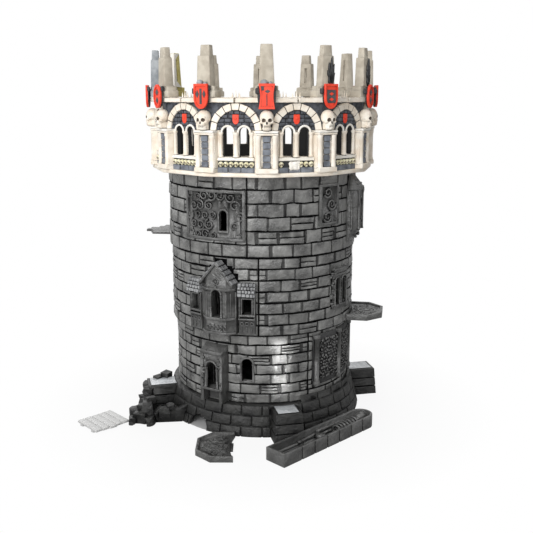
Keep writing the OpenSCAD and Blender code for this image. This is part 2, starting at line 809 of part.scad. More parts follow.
// Small bay on two posts, with a sill over a dark gap and two colonettes beside its opening
module ground_bay() {
  z1 = porch_z + porch_h;
  front = ground_r + porch_out;
  post_w = 3.4;
  post_out = 1;
  sill_t = 2.2;
  gap_h = porch_sill - sill_t - plank_t / 2;
  shaft_r = 1.1;
  color(stone)
    place(0, porch_a) {
      difference() {
        on_wall(0) {
          wall_box(0, porch_w, porch_z, z1, porch_out);
          for (x = [-1, 1])
            wall_box(0, post_w, porch_z, z1, porch_out + post_out, x * (porch_w - post_w) / 2);
          wall_box(0, porch_w, porch_z + porch_sill - sill_t, porch_z + porch_sill, porch_out + hood_out);
        }
        translate([0, -front - 2 * past, porch_z + porch_sill])
          arch_prism(porch_open_w, porch_open_h, porch_out + wall_t + 3 * past);
        translate([-porch_w / 2 + post_w, -front - past, porch_z])
          cube([porch_w - 2 * post_w, porch_out + past, gap_h]);
      }
      for (x = [-1, 1])
        translate([x * porch_open_w / 2, -front + shaft_r / 2, porch_z + porch_sill - bed])
          colonette(shaft_r, porch_open_h - porch_open_w / 2);
    }
}

hood_out = 1.6;         // how far the small bay's sill and hood stand out from its face

// Sloping stone hood on top of the small bay
module ground_bay_hood() {
  z0 = porch_z + porch_h;
  w = porch_w;
  front = ground_r + porch_out + hood_out;
  back = core_r(0) - 2 * bite;
  color(stone)
    place(0, porch_a)
      on_wall(0)
        translate([-w / 2, 0, z0])
          rotate([90, 0, 90])
            linear_extrude(w)
              polygon([
                [-front, 0], [-back, 0], [-back, porch_hood_h],
                [-ground_r, porch_hood_h], [-front, porch_hood_h / 3]
              ]);
}

// Two cobbled panels between three half columns
module blind_arcade() {
  cap_h = 4;
  color(stone)
    translate([0, 0, storey_z[0] + arcade_z]) {
      sector(core_r(0), ground_r, 0, arcade_h, arcade_a - arcade_half, arcade_a + arcade_half);
      on_wall(0)
        for (i = [-1:1])
          rotate([0, 0, arcade_a + i * arcade_pitch])
            translate([0, -ground_r, 0]) {
              cylinder(r = arcade_column_r, h = arcade_h);
              for (z = [0, arcade_h - cap_h])
                translate([0, 0, z])
                  cylinder(r = arcade_column_r + arcade_cap_out, h = cap_h);
            }
    }
}

// Middle storey

// Floor disc on the wall's ledge, with a ring below that locates the storey
module storey_floor(s) {
  color(stone)
    translate([0, 0, storey_z[s]]) {
      translate([0, 0, ledge_h])
        cylinder(r = inner_r(s) - glue_gap, h = floor_t);
      difference() {
        translate([0, 0, -spigot_h])
          cylinder(r = bore_r(s) - fit_gap, h = spigot_h + ledge_h + floor_t / 2);
        translate([0, 0, -spigot_h - past])
          cylinder(r = bore_r(s) - fit_gap - wall_t, h = spigot_h + ledge_h + past);
      }
    }
}

module middle_floor() {
  storey_floor(1);
}

// Front of a house: upright walls below a gable
module house(w, eave, rise, d) {
  rotate([90, 0, 0])
    linear_extrude(d)
      polygon([[-w / 2, 0], [w / 2, 0], [w / 2, eave], [0, eave + rise], [-w / 2, eave]]);
}

// Plan of the gabled bay, its sides canted back to the wall
function gable_plan(out) =
  let (
    back = core_r(1) - 2 * bite,
    front = middle_r + gable_out + out,
    cheek = front - (gable_w - gable_front_w) / 2,
    half = gable_front_w / 2
  ) [
    [-gable_w / 2, -back], [-gable_w / 2, -cheek], [-half, -front],
    [half, -front], [gable_w / 2, -cheek], [gable_w / 2, -back]
  ];

// Canted bay under a gable, with mouldings at its foot, its sill and its eaves
module gable_bay() {
  back = core_r(1) - 2 * bite;
  front = middle_r + gable_out;
  moulding = 1.2;
  band_h = 2.4;
  bands = [0, gable_sill - band_h, gable_eave - 1.6 * band_h];
  color(stone)
    place(1, gable_a)
      difference() {
        on_wall(1) {
          intersection() {
            translate([0, -back, gable_z])
              house(gable_w, gable_eave, gable_rise, front - back);
            linear_extrude(middle_h)
              polygon(gable_plan(0));
          }
          for (z = bands)
            translate([0, 0, gable_z + z])
              linear_extrude(band_h)
                polygon(gable_plan(moulding));
        }
        translate([0, -front - 2 * past, gable_z + gable_sill])
          arch_prism(gable_open_w, gable_open_h, gable_out + wall_t + 3 * past);
      }
}

// Top of one slope from the eaves up: rows of tiles that lap over each other. A side of -1 mirrors it.
function tile_line(half, rise, rows, lap, side) = [for (i = [0:rows - 1]) each [
  [side * half * (1 - i / rows), rise * i / rows + lap],
  [side * half * (1 - (i + 1) / rows), rise * (i + 1) / rows]
]];

// Two tiled slopes that meet at a ridge
module gable_roof() {
  back = core_r(1) - 2 * bite;
  front = middle_r + gable_out + gable_overhang;
  half = gable_w / 2;
  right = tile_line(half, gable_rise, gable_tiles, gable_lap, 1);
  left = tile_line(half, gable_rise, gable_tiles, gable_lap, -1);
  upper = concat(right, [for (i = [len(left) - 2:-1:0]) left[i]]);
  color(stone)
    place(1, gable_a)
      on_wall(1)
        translate([0, -back, gable_z + gable_eave])
          rotate([90, 0, 0])
            linear_extrude(front - back)
              polygon(concat(
                [[-half, 0], [0, gable_rise], [half, 0]],
                [for (p = upper) [p[0], p[1] + gable_roof_t]]
              ));
}

// Small square window beside the gable, under a hood of stepped tiles
module side_window(a) {
  color(stone)
    place(1, a)
      difference() {
        on_wall(1) {
          wall_box(1, side_window_w, gable_z, gable_z + side_window_h, side_window_out);
          wall_box(1, side_window_w, gable_z + side_sill - 2, gable_z + side_sill, side_window_out + 1);
          for (row = [0:tile_rows - 1])
            wall_box(1, side_window_w, gable_z + side_window_h + row * tile_h,
              gable_z + side_window_h + (row + 1) * tile_h,
              side_window_out + hood_out * (tile_rows - row) / 2);
        }
        translate([-side_open_w / 2, -middle_r - side_window_out - 2 * past, gable_z + side_sill])
          cube([side_open_w, side_window_out + wall_t + 3 * past, side_open_h]);
      }
}

module side_window_left() {
  side_window(gable_a - side_turn);
}

module side_window_right() {
  side_window(gable_a + side_turn);
}

// Broken double window: two round-headed lights in courses of stone whose ends are ragged
module ruined_window() {
  out = 1.6;
  ragged = 2.8;
  rows = 8;
  row_h = ruined_h / rows;
  color(stone)
    place(1, ruined_a)
      difference() {
        on_wall(1) {
          wall_box(1, ruined_w - 2 * ragged - joint_w, ruined_z, ruined_z + ruined_h, out - joint_depth);
          for (i = [0:rows - 1])
            let (l = ragged * chance(i + 60), r = ragged * chance(i + 80), z = ruined_z + bed + i * row_h)
              wall_box(1, ruined_w - l - r, z, z + row_h - joint_w / 2 - bed,
                out - stone_relief * chance(i), (l - r) / 2);
        }
        for (x = [-1, 1])
          rotate([0, 0, x * ruined_half])
            translate([0, -middle_r - out - 2 * past, ruined_z + ruined_sill])
              arch_prism(ruined_open_w, ruined_open_h, out + wall_t + 3 * past);
      }
}

// Balconies

plug_up = (balcony_t - plug_t) / 2;

// Plan of a balcony's slab, the wall's side along y = 0
function balcony_plan(in) = [
  [-balcony_w / 2 + in, 0], [-balcony_w / 2 + in, -balcony_d + balcony_corner + in * 0.4],
  [-balcony_w / 2 + balcony_corner + in * 0.4, -balcony_d + in],
  [balcony_w / 2 - balcony_corner - in * 0.4, -balcony_d + in],
  [balcony_w / 2 - in, -balcony_d + balcony_corner + in * 0.4], [balcony_w / 2 - in, 0]
];

// Slab with a raised rim and a flat plug, its back hollowed to the tower's curve
module balcony_piece() {
  curve_r = middle_r + plug_gap;
  lean = middle_r - sqrt(pow(middle_r, 2) - pow(balcony_w / 2, 2));
  color(stone) {
    difference() {
      translate([0, -middle_r, 0])
        difference() {
          translate([0, lean + past, 0])
            linear_extrude(balcony_t + balcony_rim_h)
              polygon([for (p = balcony_plan(0)) [p[0], p[1] < 0 ? p[1] - lean - past : 0]]);
          translate([0, lean + past, balcony_t])
            linear_extrude(balcony_rim_h + past)
              polygon([for (p = balcony_plan(balcony_rim_w))
                [p[0], p[1] < 0 ? p[1] - lean - past : past]]);
        }
      translate([0, 0, -past])
        cylinder(r = curve_r, h = balcony_t + balcony_rim_h + 2 * past);
    }
    translate([-plug_w / 2, -curve_r - past, plug_up])
      cube([plug_w, past + plug_l, plug_t]);
    translate([0, -middle_r - balcony_d / 2, balcony_t - bed])
      rosette(balcony_d * 0.3);
  }
}

// Low carving on a balcony: a ring round a boss, with spokes between
module rosette(r) {
  carved = 0.7;
  band = r * 0.18;
  spokes = 8;
  difference() {
    cylinder(r = r, h = carved);
    translate([0, 0, -past])
      cylinder(r = r - band, h = carved + 2 * past);
  }
  cylinder(r = r * 0.3, h = carved + bed);
  for (i = [0:spokes - 1])
    rotate([0, 0, (i + 0.5) * 360 / spokes])
      translate([0, -band / 4, 0])
        cube([r - band / 2, band / 2, carved - bed]);
}

module balcony() {
  translate([0, 0, middle_z + balcony_z])
    rotate([0, 0, balcony_a])
      balcony_piece();
}

// Twin of the balcony that lies on the table
module loose_balcony() {
  middle = middle_r + balcony_d / 2;
  spot = foot_r + loose_clear + balcony_w / 2;
  translate([spot * sin(loose_a), -spot * cos(loose_a), 0])
    rotate([0, 0, loose_turn])
      translate([0, middle, 0])
        balcony_piece();
}

// Upper storey

module upper_floor() {
  storey_floor(2);
}

// Carved slab that follows the wall's curve, inside a raised frame
module framed_slab(a, deg, z, h) {
  edge = arc_deg(frame_w, upper_r);
  top = upper_r + frame_out;
  field = deg / 2 - edge;
  difference() {
    sector(core_r(2), top, z, z + h, a - deg / 2, a + deg / 2);
    sector(upper_r - joint_depth / 2, top + past, z + frame_w, z + h - frame_w, a - field, a + field);
  }
}

// Flat pilaster with a base and a capital, in front of a carved slab
module pilaster(a, half, z, h) {
  cap_h = frame_w * 1.2;
  wide = half * 1.35;
  root = upper_r - joint_depth;
  sector(root, upper_r + frame_out / 3, z - bed, z + h + bed, a - half, a + half);
  for (level = [z - 2 * bed, z + h - cap_h])
    sector(root - bed, upper_r + frame_out * 2 / 3, level, level + cap_h + 2 * bed, a - wide, a + wide);
}

module relief_panel() {
  rim = 1.8;
  pilaster_deg = arc_deg(frame_w * 1.4, upper_r);
  pilaster_a = relief_deg / 2 - arc_deg(frame_w, upper_r) - pilaster_deg;
  color(stone)
    translate([0, 0, upper_z])
      difference() {
        union() {
          framed_slab(relief_a, relief_deg, relief_z, relief_h);
          for (a = [relief_a - pilaster_a, relief_a + pilaster_a])
            pilaster(a, pilaster_deg / 2, relief_z + frame_w, relief_h - 2 * frame_w);
          rotate([0, 0, lancet_a])
            on_wall(2)
              translate([0, -upper_r, relief_z + lancet_sill - rim])
                arch_prism(lancet_w + 2 * rim, lancet_h + 2 * rim, wall_t);
        }
        wall_opening(2, lancet_a, relief_z + lancet_sill, lancet_w, lancet_h, true);
      }
}

module side_relief() {
  color(stone)
    translate([0, 0, upper_z])
      framed_slab(side_relief_a, side_relief_deg, side_relief_z, side_relief_h);
}

// Half-hexagon plan of the oriel
function oriel_plan(out) =
  let (
    half = oriel_w / 2,
    back = core_r(2) - 2 * bite,
    cheek = upper_r + out * oriel_cheek,
    front = upper_r + out
  )
  [[-half, -back], [-half, -cheek], [-half / 2, -front], [half / 2, -front], [half, -cheek], [half, -back]];

module oriel() {
  color(stone)
    place(2, oriel_a)
      difference() {
        on_wall(2) {
          translate([0, 0, oriel_z])
            linear_extrude(oriel_h)
              polygon(oriel_plan(oriel_out));
          for (step = [1:oriel_steps])
            translate([0, 0, oriel_z - step * oriel_corbel_h / oriel_steps])
              linear_extrude(oriel_corbel_h / oriel_steps + bed)
                polygon(oriel_plan(oriel_out * (1 - step / (oriel_steps + oriel_cheek))));
        }
        translate([0, -upper_r - oriel_out - 2 * past, oriel_z + oriel_sill])
          arch_prism(oriel_open_w, oriel_open_h, oriel_out + wall_t + 3 * past);
      }
}

// Hipped roof that leans back against the wall
module oriel_roof() {
  z0 = oriel_z + oriel_h;
  thin = 0.01;
  color(stone)
    place(2, oriel_a)
      on_wall(2)
        hull() {
          translate([0, 0, z0])
            linear_extrude(oriel_eave)
              polygon(oriel_plan(oriel_out + oriel_eave));
          translate([-oriel_w / 4, -upper_r, z0 + oriel_roof_h - thin])
            cube([oriel_w / 2, wall_t, thin]);
        }
}

// Ragged planks let into the wall, with a groove along each seam
module plank_landing() {
  middle = landing_planks * 0.45;
  shorter = 1.1;
  color(stone)
    place(2, landing_a)
      difference() {
        on_wall(2)
          for (i = [0:landing_planks - 1])
            let (l = landing_l * (1 - shorter * abs(i - middle) / landing_planks) - plank_t * chance(i))
              translate([(i - landing_planks / 2) * plank_w, -upper_r - l, landing_z])
                cube([plank_w, l + wall_t, plank_t]);
        for (i = [1:landing_planks - 1])
          translate([(i - landing_planks / 2) * plank_w, -upper_r - landing_l - past, landing_z + plank_t])
            seam(landing_l + wall_t + past);
      }
}

// Groove between two planks that run along Y, its top at z = 0
module seam(l) {
  translate([-joint_w / 2, 0, -plank_t / 3])
    cube([joint_w, l, plank_t]);
}

// Gallery

bay_deg = 360 / bays;
half_out = bay_apothem * tan(bay_deg / 2);
half_in = (bay_apothem - bay_t) * tan(bay_deg / 2);
corner_r = bay_apothem / cos(bay_deg / 2);
panel_h = gallery_h - rim_t - cornice_h;
cornice_z = gallery_z + gallery_h - cornice_h;
terrace_z = gallery_z + gallery_h;
abacus_h = 4;
abacus_z = spring_z - abacus_h;
cornice_lap = 1;        // how far the cornice covers the bays on the inside
set_in = 0.3;           // how far a piece stands back from the edge that carries it

// Rim of the gallery, its floor and the ring that locates it on the upper storey
module gallery_floor() {
  rim_r = (bay_apothem + rim_out) / cos(bay_deg / 2);
  color(cream)
    translate([0, 0, gallery_z]) {
      rotate([0, 0, -90])
        linear_extrude(rim_t)
          polygon([for (i = [0:bays - 1]) rim_r * [cos(i * bay_deg), sin(i * bay_deg)]]);
      difference() {
        translate([0, 0, -spigot_h])
          cylinder(r = inner_r(2) - fit_gap, h = spigot_h + rim_t / 2);
        translate([0, 0, -spigot_h - past])
          cylinder(r = inner_r(2) - fit_gap - wall_t, h = spigot_h + past);
      }
    }
}

// Half ring in front of a bay's face, its springing at z = 0
module half_ring(r0, r1, out) {
  rotate([90, 0, 0])
    rotate_extrude(angle = 180)
      translate([r0, 0])
        square([r1 - r0, out]);
}

// One wedge stone of the big arch as x and height, between two angles above the springing
function wedge_plan(a0, a1, r0, r1) = concat(
  [for (t = [0:2]) let (a = a0 + (a1 - a0) * t / 2) r0 * [cos(a), sin(a)]],
  [for (t = [2:-1:0]) let (a = a0 + (a1 - a0) * t / 2) r1 * [cos(a), sin(a)]]
);

// Big arch of separate wedge stones on a ring that closes their joints
module big_arch() {
  deg = 180 / arch_stones;
  gap = arc_deg(joint_w / 2, arch_in + arch_w / 2);
  half_ring(arch_in + set_in, arch_in + arch_w - set_in, past + arch_out - joint_depth);
  for (i = [0:arch_stones - 1])
    rotate([90, 0, 0])
      linear_extrude(past + arch_out - stone_relief * chance(i + 7))
        polygon(wedge_plan(i * deg + gap, (i + 1) * deg - gap, arch_in, arch_in + arch_w));
}

// Rows of brick that fill the head of the big arch, their ends under the wedge stones
module arch_bricks() {
  row_h = arch_in / brick_rows;
  mortar = joint_w / 2;
  for (row = [0:brick_rows - 1]) {
    half = sqrt(pow(arch_in, 2) - pow((row + 0.5) * row_h, 2));
    first = -brick_l * (ceil(half / brick_l) + 0.5 * (row % 2));
    for (x = [first:brick_l:half])
      let (l = max(x, -half), e = min(x + brick_l, half) - mortar)
        if (e - l > brick_out)
          translate([l, -brick_out, row * row_h])
            cube([e - l, brick_out + past, row_h - mortar]);
  }
}

// Column on a round foot, with a flared capital
module colonette(r, h) {
  lip = r * colonette_lip;
  rotate_extrude()
    polygon([
      [0, 0], [r + lip, 0], [r + lip, lip], [r, 2 * lip], [r, h - 4 * lip],
      [r + lip, h - 2 * lip], [r + lip, h], [0, h]
    ]);
}

// Small skull of the frieze: a round crown over a narrow jaw
module frieze_skull() {
  jaw_w = frieze_r * 1.1;
  jaw_h = frieze_r * 1.3;
  sphere(r = frieze_r);
  translate([-jaw_w / 2, -frieze_r * 0.8, -jaw_h])
    cube([jaw_w, frieze_r * 1.4, jaw_h]);
}

// One bay: a flat panel with two lancets under a big arch, over a sill, a frieze and a ledge of blocks
module gallery_bay(k) {
  face = -bay_apothem;
  sill_w = 2 * pier_edge - 2 * bed;
  head_z = sill_z + window_h - window_w / 2;
  frieze_z = sill_z - sill_t - frieze_r - set_in;
  hood = window_w + 2 * hood_w;
  ledge_blocks = 4;
  ledge_block = sill_w / ledge_blocks;
  color(cream)
    translate([0, 0, gallery_z])
      rotate([0, 0, (k - 0.5) * bay_deg]) {
        difference() {
          translate([0, 0, rim_t])
            linear_extrude(panel_h)
              polygon([
                [-half_out, face], [half_out, face],
                [half_in, face + bay_t], [-half_in, face + bay_t]
              ]);
          for (x = [-1, 1])
            translate([x * window_pitch / 2, face - past, sill_z])
              arch_prism(window_w, window_h, bay_t + 2 * past);
        }
        translate([-sill_w / 2, face - sill_out, sill_z - sill_t])
          cube([sill_w, sill_out + past, sill_t]);
        for (i = [0:frieze_skulls - 1])
          translate([(i - (frieze_skulls - 1) / 2) * sill_w / frieze_skulls, face - set_in, frieze_z])
            frieze_skull();
        for (i = [0:ledge_blocks - 1])
          translate([-sill_w / 2 + i * ledge_block, face - block_out + stone_relief * chance(i), rim_t])
            cube([ledge_block - joint_w / 2, block_out + past, block_h]);
        for (x = [-1, 1]) {
          translate([x * window_pitch / 2, face + past, head_z])
            half_ring(window_w / 2 + bed, window_w / 2 + hood_w, hood_w + past);
          translate([x * (pier_edge + window_edge) / 2, face, sill_z - bed])
            colonette((pier_edge - window_edge) / 4, head_z - sill_z);
        }
        translate([0, face, sill_z - bed])
          colonette((window_pitch - window_w) / 2 / (1 + colonette_lip), head_z - sill_z);
        difference() {
          translate([0, face, spring_z])
            arch_bricks();
          for (x = [-1, 1])
            translate([x * window_pitch / 2, face - 2 * past, sill_z])
              arch_prism(hood - set_in, window_h + hood_w - set_in / 2, bay_t + 2 * past);
        }
        intersection() {
          translate([0, face + past, spring_z])
            big_arch();
          translate([-skull_clear, face - arch_out - past, spring_z - past])
            cube([2 * skull_clear, arch_out + 3 * past, panel_h]);
        }
      }
}

pier_edge = half_out - pier_w / 2 / cos(bay_deg / 2);   // from a bay's middle to the pier's side
window_edge = (window_pitch + window_w) / 2;            // from a bay's middle to the lancet's far side
sill_out = 3;
hood_w = 1.5;           // width of the moulding round a lancet's head
block_h = 4.7;          // height of the ledge of blocks under the frieze
block_out = 1.4;
colonette_lip = 0.3;    // how far a colonette's foot and capital flare, as a share of its radius
skull_w = skull_h * 0.78;
skull_clear = half_out - skull_w / 2 - 1.2;

// Plan of a pier, its back in the corner of two bays and its front moved out
function pier_plan(half, out) =
  let (slope = tan(bay_deg / 2), front = corner_r + pier_out + out)
  [
    [-half, half * slope - corner_r], [0, -corner_r], [half, half * slope - corner_r],
    [half, -front], [-half, -front]
  ];

// Pier at a corner of the gallery: base, two half columns with blocks between them, abacus and skull capital
module gallery_pier() {
  front = corner_r + pier_out;
  column_x = pier_w / 2 - pier_column_r;
  strip = column_x - pier_column_r - set_in;
  slope = tan(bay_deg / 2);
  strip_blocks = 5;
  block_step = (abacus_z - pier_base_h) / strip_blocks;
  levels = [
    [rim_t, abacus_z, -pier_recess], [rim_t, pier_base_h, abacus_out],
    [abacus_z, spring_z - abacus_h / 2, abacus_out / 2], [spring_z - abacus_h / 2 - bed, spring_z, abacus_out]
  ];
  color(cream) {
    for (part = levels)
      translate([0, 0, part[0]])
        linear_extrude(part[1] - part[0])
          polygon(pier_plan(pier_w / 2, part[2]));
    for (i = [0:strip_blocks - 1])
      translate([-strip, -front + set_in + stone_relief * chance(i), pier_base_h + i * block_step])
        cube([2 * strip, pier_recess + past, block_step - joint_w / 2]);
    for (x = [-column_x, column_x])
      translate([x, -front + pier_column_r - abacus_out / 2, rim_t])
        cylinder(r = pier_column_r, h = abacus_z - rim_t + bed);
    translate([0, 0, spring_z - bed])
      linear_extrude(gallery_h - cornice_h - spring_z + bed)
        polygon(pier_plan(skull_w / 4, -past));
    difference() {
      translate([0, -front + past, spring_z])
        skull(skull_h);
      linear_extrude(gallery_h)
        polygon([[-pier_w, pier_w * slope - corner_r], [0, -corner_r], [pier_w, pier_w * slope - corner_r]]);
    }
  }
}

abacus_out = 1.4;       // how far the abacus and the base stand out from the columns
pier_recess = 1.6;      // how far the pier's core stands back between the columns
pier_base_h = 8;

// Generic skull that looks to the front, its jaw at z = 0
module skull(h) {
  w = skull_w;
  crown_r = w / 2;
  crown_z = h - crown_r;
  jaw_r = w * 0.25;
  jaw_h = crown_z * 0.24;
  teeth = 5;
  difference() {
    union() {
      translate([0, 0, crown_z])
        sphere(r = crown_r);
      for (x = [-1, 1])
        translate([x * w * 0.29, -w * 0.3, crown_z - w * 0.27])
          sphere(r = w * 0.15);
      translate([0, -w * 0.38, crown_z + w * 0.07])
        rotate([0, 90, 0])
          cylinder(r = w * 0.09, h = w * 0.56, center = true);
      translate([0, -w * 0.19, jaw_h])
        cylinder(r = jaw_r, h = crown_z - jaw_h);
      translate([0, -w * 0.17, 0])
        cylinder(r = jaw_r * 0.94, h = crown_z * 0.5);
    }
    for (x = [-1, 1])
      translate([x * w * 0.19, -w * 0.47, crown_z - w * 0.07])
        sphere(r = w * 0.145);
    translate([0, -w * 0.62, crown_z - w * 0.34])
      rotate([-90, 0, 0])
        linear_extrude(w * 0.26)
          polygon([[-w * 0.075, 0], [w * 0.075, 0], [0, -w * 0.17]]);
    for (i = [0:teeth - 1])
      translate([(i - (teeth - 1) / 2) * jaw_r * 0.36 - bed, -w * 0.6, jaw_h * 0.5])
        cube([2 * bed, w * 0.25, jaw_h * 1.3]);
    translate([-w / 2, -w * 0.6, jaw_h])
      cube([w, w * 0.22, 2 * bed]);
  }
}

module gallery_piers() {
  translate([0, 0, gallery_z])
    for (k = [0:bays - 1])
      rotate([0, 0, k * bay_deg])
        gallery_pier();
}

// Cornice ring with a block over each pier and three spikes over each bay
module cornice() {
  block_w = shield_w * 0.7;
  notch = cornice_r - bay_apothem - cornice_out + joint_depth;
  color(cream)
    translate([0, 0, cornice_z]) {
      difference() {
        rotate([0, 0, -90])
          linear_extrude(cornice_h)
            polygon([for (i = [0:bays - 1]) cornice_r * [cos(i * bay_deg), sin(i * bay_deg)]]);
        rotate([0, 0, -90])
          translate([0, 0, -past])
            linear_extrude(cornice_h + 2 * past)
              polygon([for (i = [0:bays - 1]) cornice_in_r * [cos(i * bay_deg), sin(i * bay_deg)]]);
        for (k = [0:bays - 1])
          rotate([0, 0, (k + 0.5) * bay_deg])
            translate([-joint_w / 2, -cornice_r, -past])
              cube([joint_w, notch, cornice_h + 2 * past]);
      }
      for (k = [0:bays - 1])
        rotate([0, 0, k * bay_deg])
          translate([-block_w / 2, -shield_back, bed])
            cube([block_w, 4 * past, cornice_h - 2 * bed]);
      for (k = [0:bays - 1])
        rotate([0, 0, (k + 0.5) * bay_deg])
          for (x = [-1:1])
            translate([x * 3 * spike_r, -bay_apothem, cornice_h - bed])
              cylinder(r1 = spike_r, r2 = set_in, h = spike_h * (x == 0 ? 1 : 0.7));
    }
}

spike_r = 1.1;
cornice_r = (bay_apothem + cornice_out) / cos(bay_deg / 2);
cornice_in_r = (bay_apothem - bay_t - cornice_lap) / cos(bay_deg / 2);
shield_back = cornice_r + 2 * set_in;
obelisk_r = cornice_r - 2 * set_in - obelisk_w / 2 * tan(bay_deg / 2) - obelisk_d / 2;

// Plan of a pedestal that follows the cornice's corner, its edges moved in
function pedestal_plan(in) =
  let (
    half = pedestal_w / 2 - in,
    slope = half * tan(bay_deg / 2),
    front = cornice_r - set_in - in,
    back = cornice_in_r + in
  )
  [
    [-half, slope - front], [0, -front], [half, slope - front],
    [half, slope - back], [0, -back], [-half, slope - back]
  ];

// Tapered four-sided obelisk on a stepped pedestal: plain, or with a set-back cap that sits to one side.
// A slit runs up its inner face.
module obelisk(capped, aside) {
  cap_h = obelisk_h * 0.26;
  shaft_h = capped ? obelisk_h - cap_h : obelisk_h;
  taper = capped ? 0.88 : 0.74;
  cap = 0.72;
  step_h = pedestal_h * 0.6;
  translate([0, obelisk_r, 0]) {
    linear_extrude(step_h)
      polygon(pedestal_plan(0));
    linear_extrude(pedestal_h)
      polygon(pedestal_plan(pedestal_set_in));
  }
  translate([0, 0, pedestal_h])
    difference() {
      linear_extrude(shaft_h, scale = taper)
        square([obelisk_w, obelisk_d], center = true);
      translate([-obelisk_slit / 2, obelisk_d * 0.28, shaft_h * 0.2])
        cube([obelisk_slit, obelisk_d, shaft_h * 0.6]);
    }
  if (capped)
    translate([aside * obelisk_w * (taper - cap) / 2, 0, pedestal_h + shaft_h])
      linear_extrude(cap_h, scale = taper)
        square([obelisk_w * cap, obelisk_d * cap], center = true);
}

pedestal_set_in = 1.1;
obelisk_slit = 2.4;

module obelisks() {
  color(cream)
    translate([0, 0, terrace_z])
      for (k = [0:bays - 1])
        rotate([0, 0, k * bay_deg])
          translate([0, -obelisk_r, 0])
            obelisk(k % 4 != 0, k % 3 - 1);
}

// Outline of a shield: 0 with a curved point, 1 round at its foot, 2 with hollow sides, 3 oval
function shield_plan(style, w, h) =
  let (waist = h * 0.45, hollow = 0.2)
  style == 0 ? concat(
    [[-w / 2, h]],
    [for (i = [0:8]) [-w / 2 * cos(i * 10), waist * (1 - sin(i * 10))]],
    [for (i = [8:-1:0]) [w / 2 * cos(i * 10), waist * (1 - sin(i * 10))]],
    [[w / 2, h]]
  ) : style == 1 ? concat(
    [[-w / 2, h]], [for (i = [0:12]) [-w / 2 * cos(i * 15), waist * (1 - sin(i * 15))]], [[w / 2, h]]
  ) : style == 2 ? concat(
    [for (t = [0:0.125:1]) [w / 2 * (1 - hollow * sin(180 * t)), h * t]],
    [for (t = [1:-0.125:0]) [-w / 2 * (1 - hollow * sin(180 * t)), h * t]]
  ) : [for (i = [0:23]) [w / 2 * cos(i * 15), h / 2 * (1 + sin(i * 15))]];

// Upright plate in the shape of a shield, its back at y = 0
module shield_plate(style, w, h, t) {
  rotate([90, 0, 0])
    linear_extrude(t)
      polygon(shield_plan(style, w, h));
}

// Large shield with a sunk field inside a rim, and a boss
module shield(style) {
  field = 0.74;
  sunk = shield_t * 0.35;
  difference() {
    shield_plate(style, shield_w, shield_h, shield_t);
    translate([0, -shield_t + sunk, shield_h * (1 - field) / 2])
      shield_plate(style, shield_w * field, shield_h * field, sunk + past);
  }
  translate([0, -shield_t / 2, shield_h / 2])
    rotate([90, 0, 0])
      cylinder(r = shield_w * 0.13, h = shield_t / 2 - bed);
}

shield_styles = [2, 0, 3, 1];

module shields() {
  color(red)
    translate([0, 0, cornice_z + cornice_h / 2 - shield_h * 0.35])
      for (k = [0:bays - 1])
        rotate([0, 0, k * bay_deg])
          translate([0, -shield_back, 0])
            shield(shield_styles[k % len(shield_styles)]);
}

// Small shields in the heads of the bays
module badges() {
  color(red)
    translate([0, 0, gallery_z + spring_z + arch_in * 0.3])
      for (k = [0:bays - 1])
        rotate([0, 0, (k + 0.5) * bay_deg])
          translate([0, -bay_apothem - brick_out, 0])
            shield_plate(0, badge_w, badge_w * 1.5, shield_t / 2);
}

// Black flame ornaments on two of the obelisks
module flames() {
  flame_h = obelisk_h * 0.75;
  flame_w = obelisk_w * 0.6;
  color(black)
    translate([0, 0, terrace_z + pedestal_h])
      for (k = [1, 2])
        rotate([0, 0, k * bay_deg])
          translate([0, -obelisk_r - obelisk_d / 2, 0])
            rotate([90, 0, 0])
              linear_extrude(shield_t)
                polygon([
                  [-flame_w / 4, 0], [flame_w / 4, 0], [flame_w / 2, flame_h * 0.35],
                  [flame_w * 0.25, flame_h * 0.6], [0, flame_h], [-flame_w * 0.25, flame_h * 0.65],
                  [-flame_w / 2, flame_h * 0.4]
                ]);
}

// Loose pieces

// How far the front buttress reaches in the direction of the tomb
tomb_turn = tomb_a - buttress_a;
tomb_inner = max(foot_r, reach(0) * cos(tomb_turn) + buttress_foot_w / 2 * sin(tomb_turn)) + tomb_clear;

// Puts what lies along X where the tomb lies
module lay_tomb() {
  rotate([0, 0, tomb_a])
    translate([tomb_slide, -tomb_inner - tomb_w, 0])
      children();
}

// Open stone trough, its head end rounded
module tomb_box() {
  color(stone)
    lay_tomb()
      difference() {
        tomb_solid(0, tomb_h);
        translate([0, 0, tomb_t])
          tomb_solid(tomb_t, tomb_h);
        for (i = [1:tomb_blocks - 1])
          for (y = [-past, tomb_w - tomb_t / 3])
            translate([(i / tomb_blocks - 0.5) * (tomb_l - tomb_w / 2), y, -past])
              cube([joint_w, past + tomb_t / 3, tomb_h + 2 * past]);
      }
}

tomb_blocks = 7;

module tomb_solid(in, h) {
  r = tomb_w / 2;
  translate([-tomb_l / 2 + in, in, 0])
    cube([tomb_l - r - in, tomb_w - 2 * in, h]);
  translate([tomb_l / 2 - r, r, 0])
    cylinder(r = r - in, h = h);
}

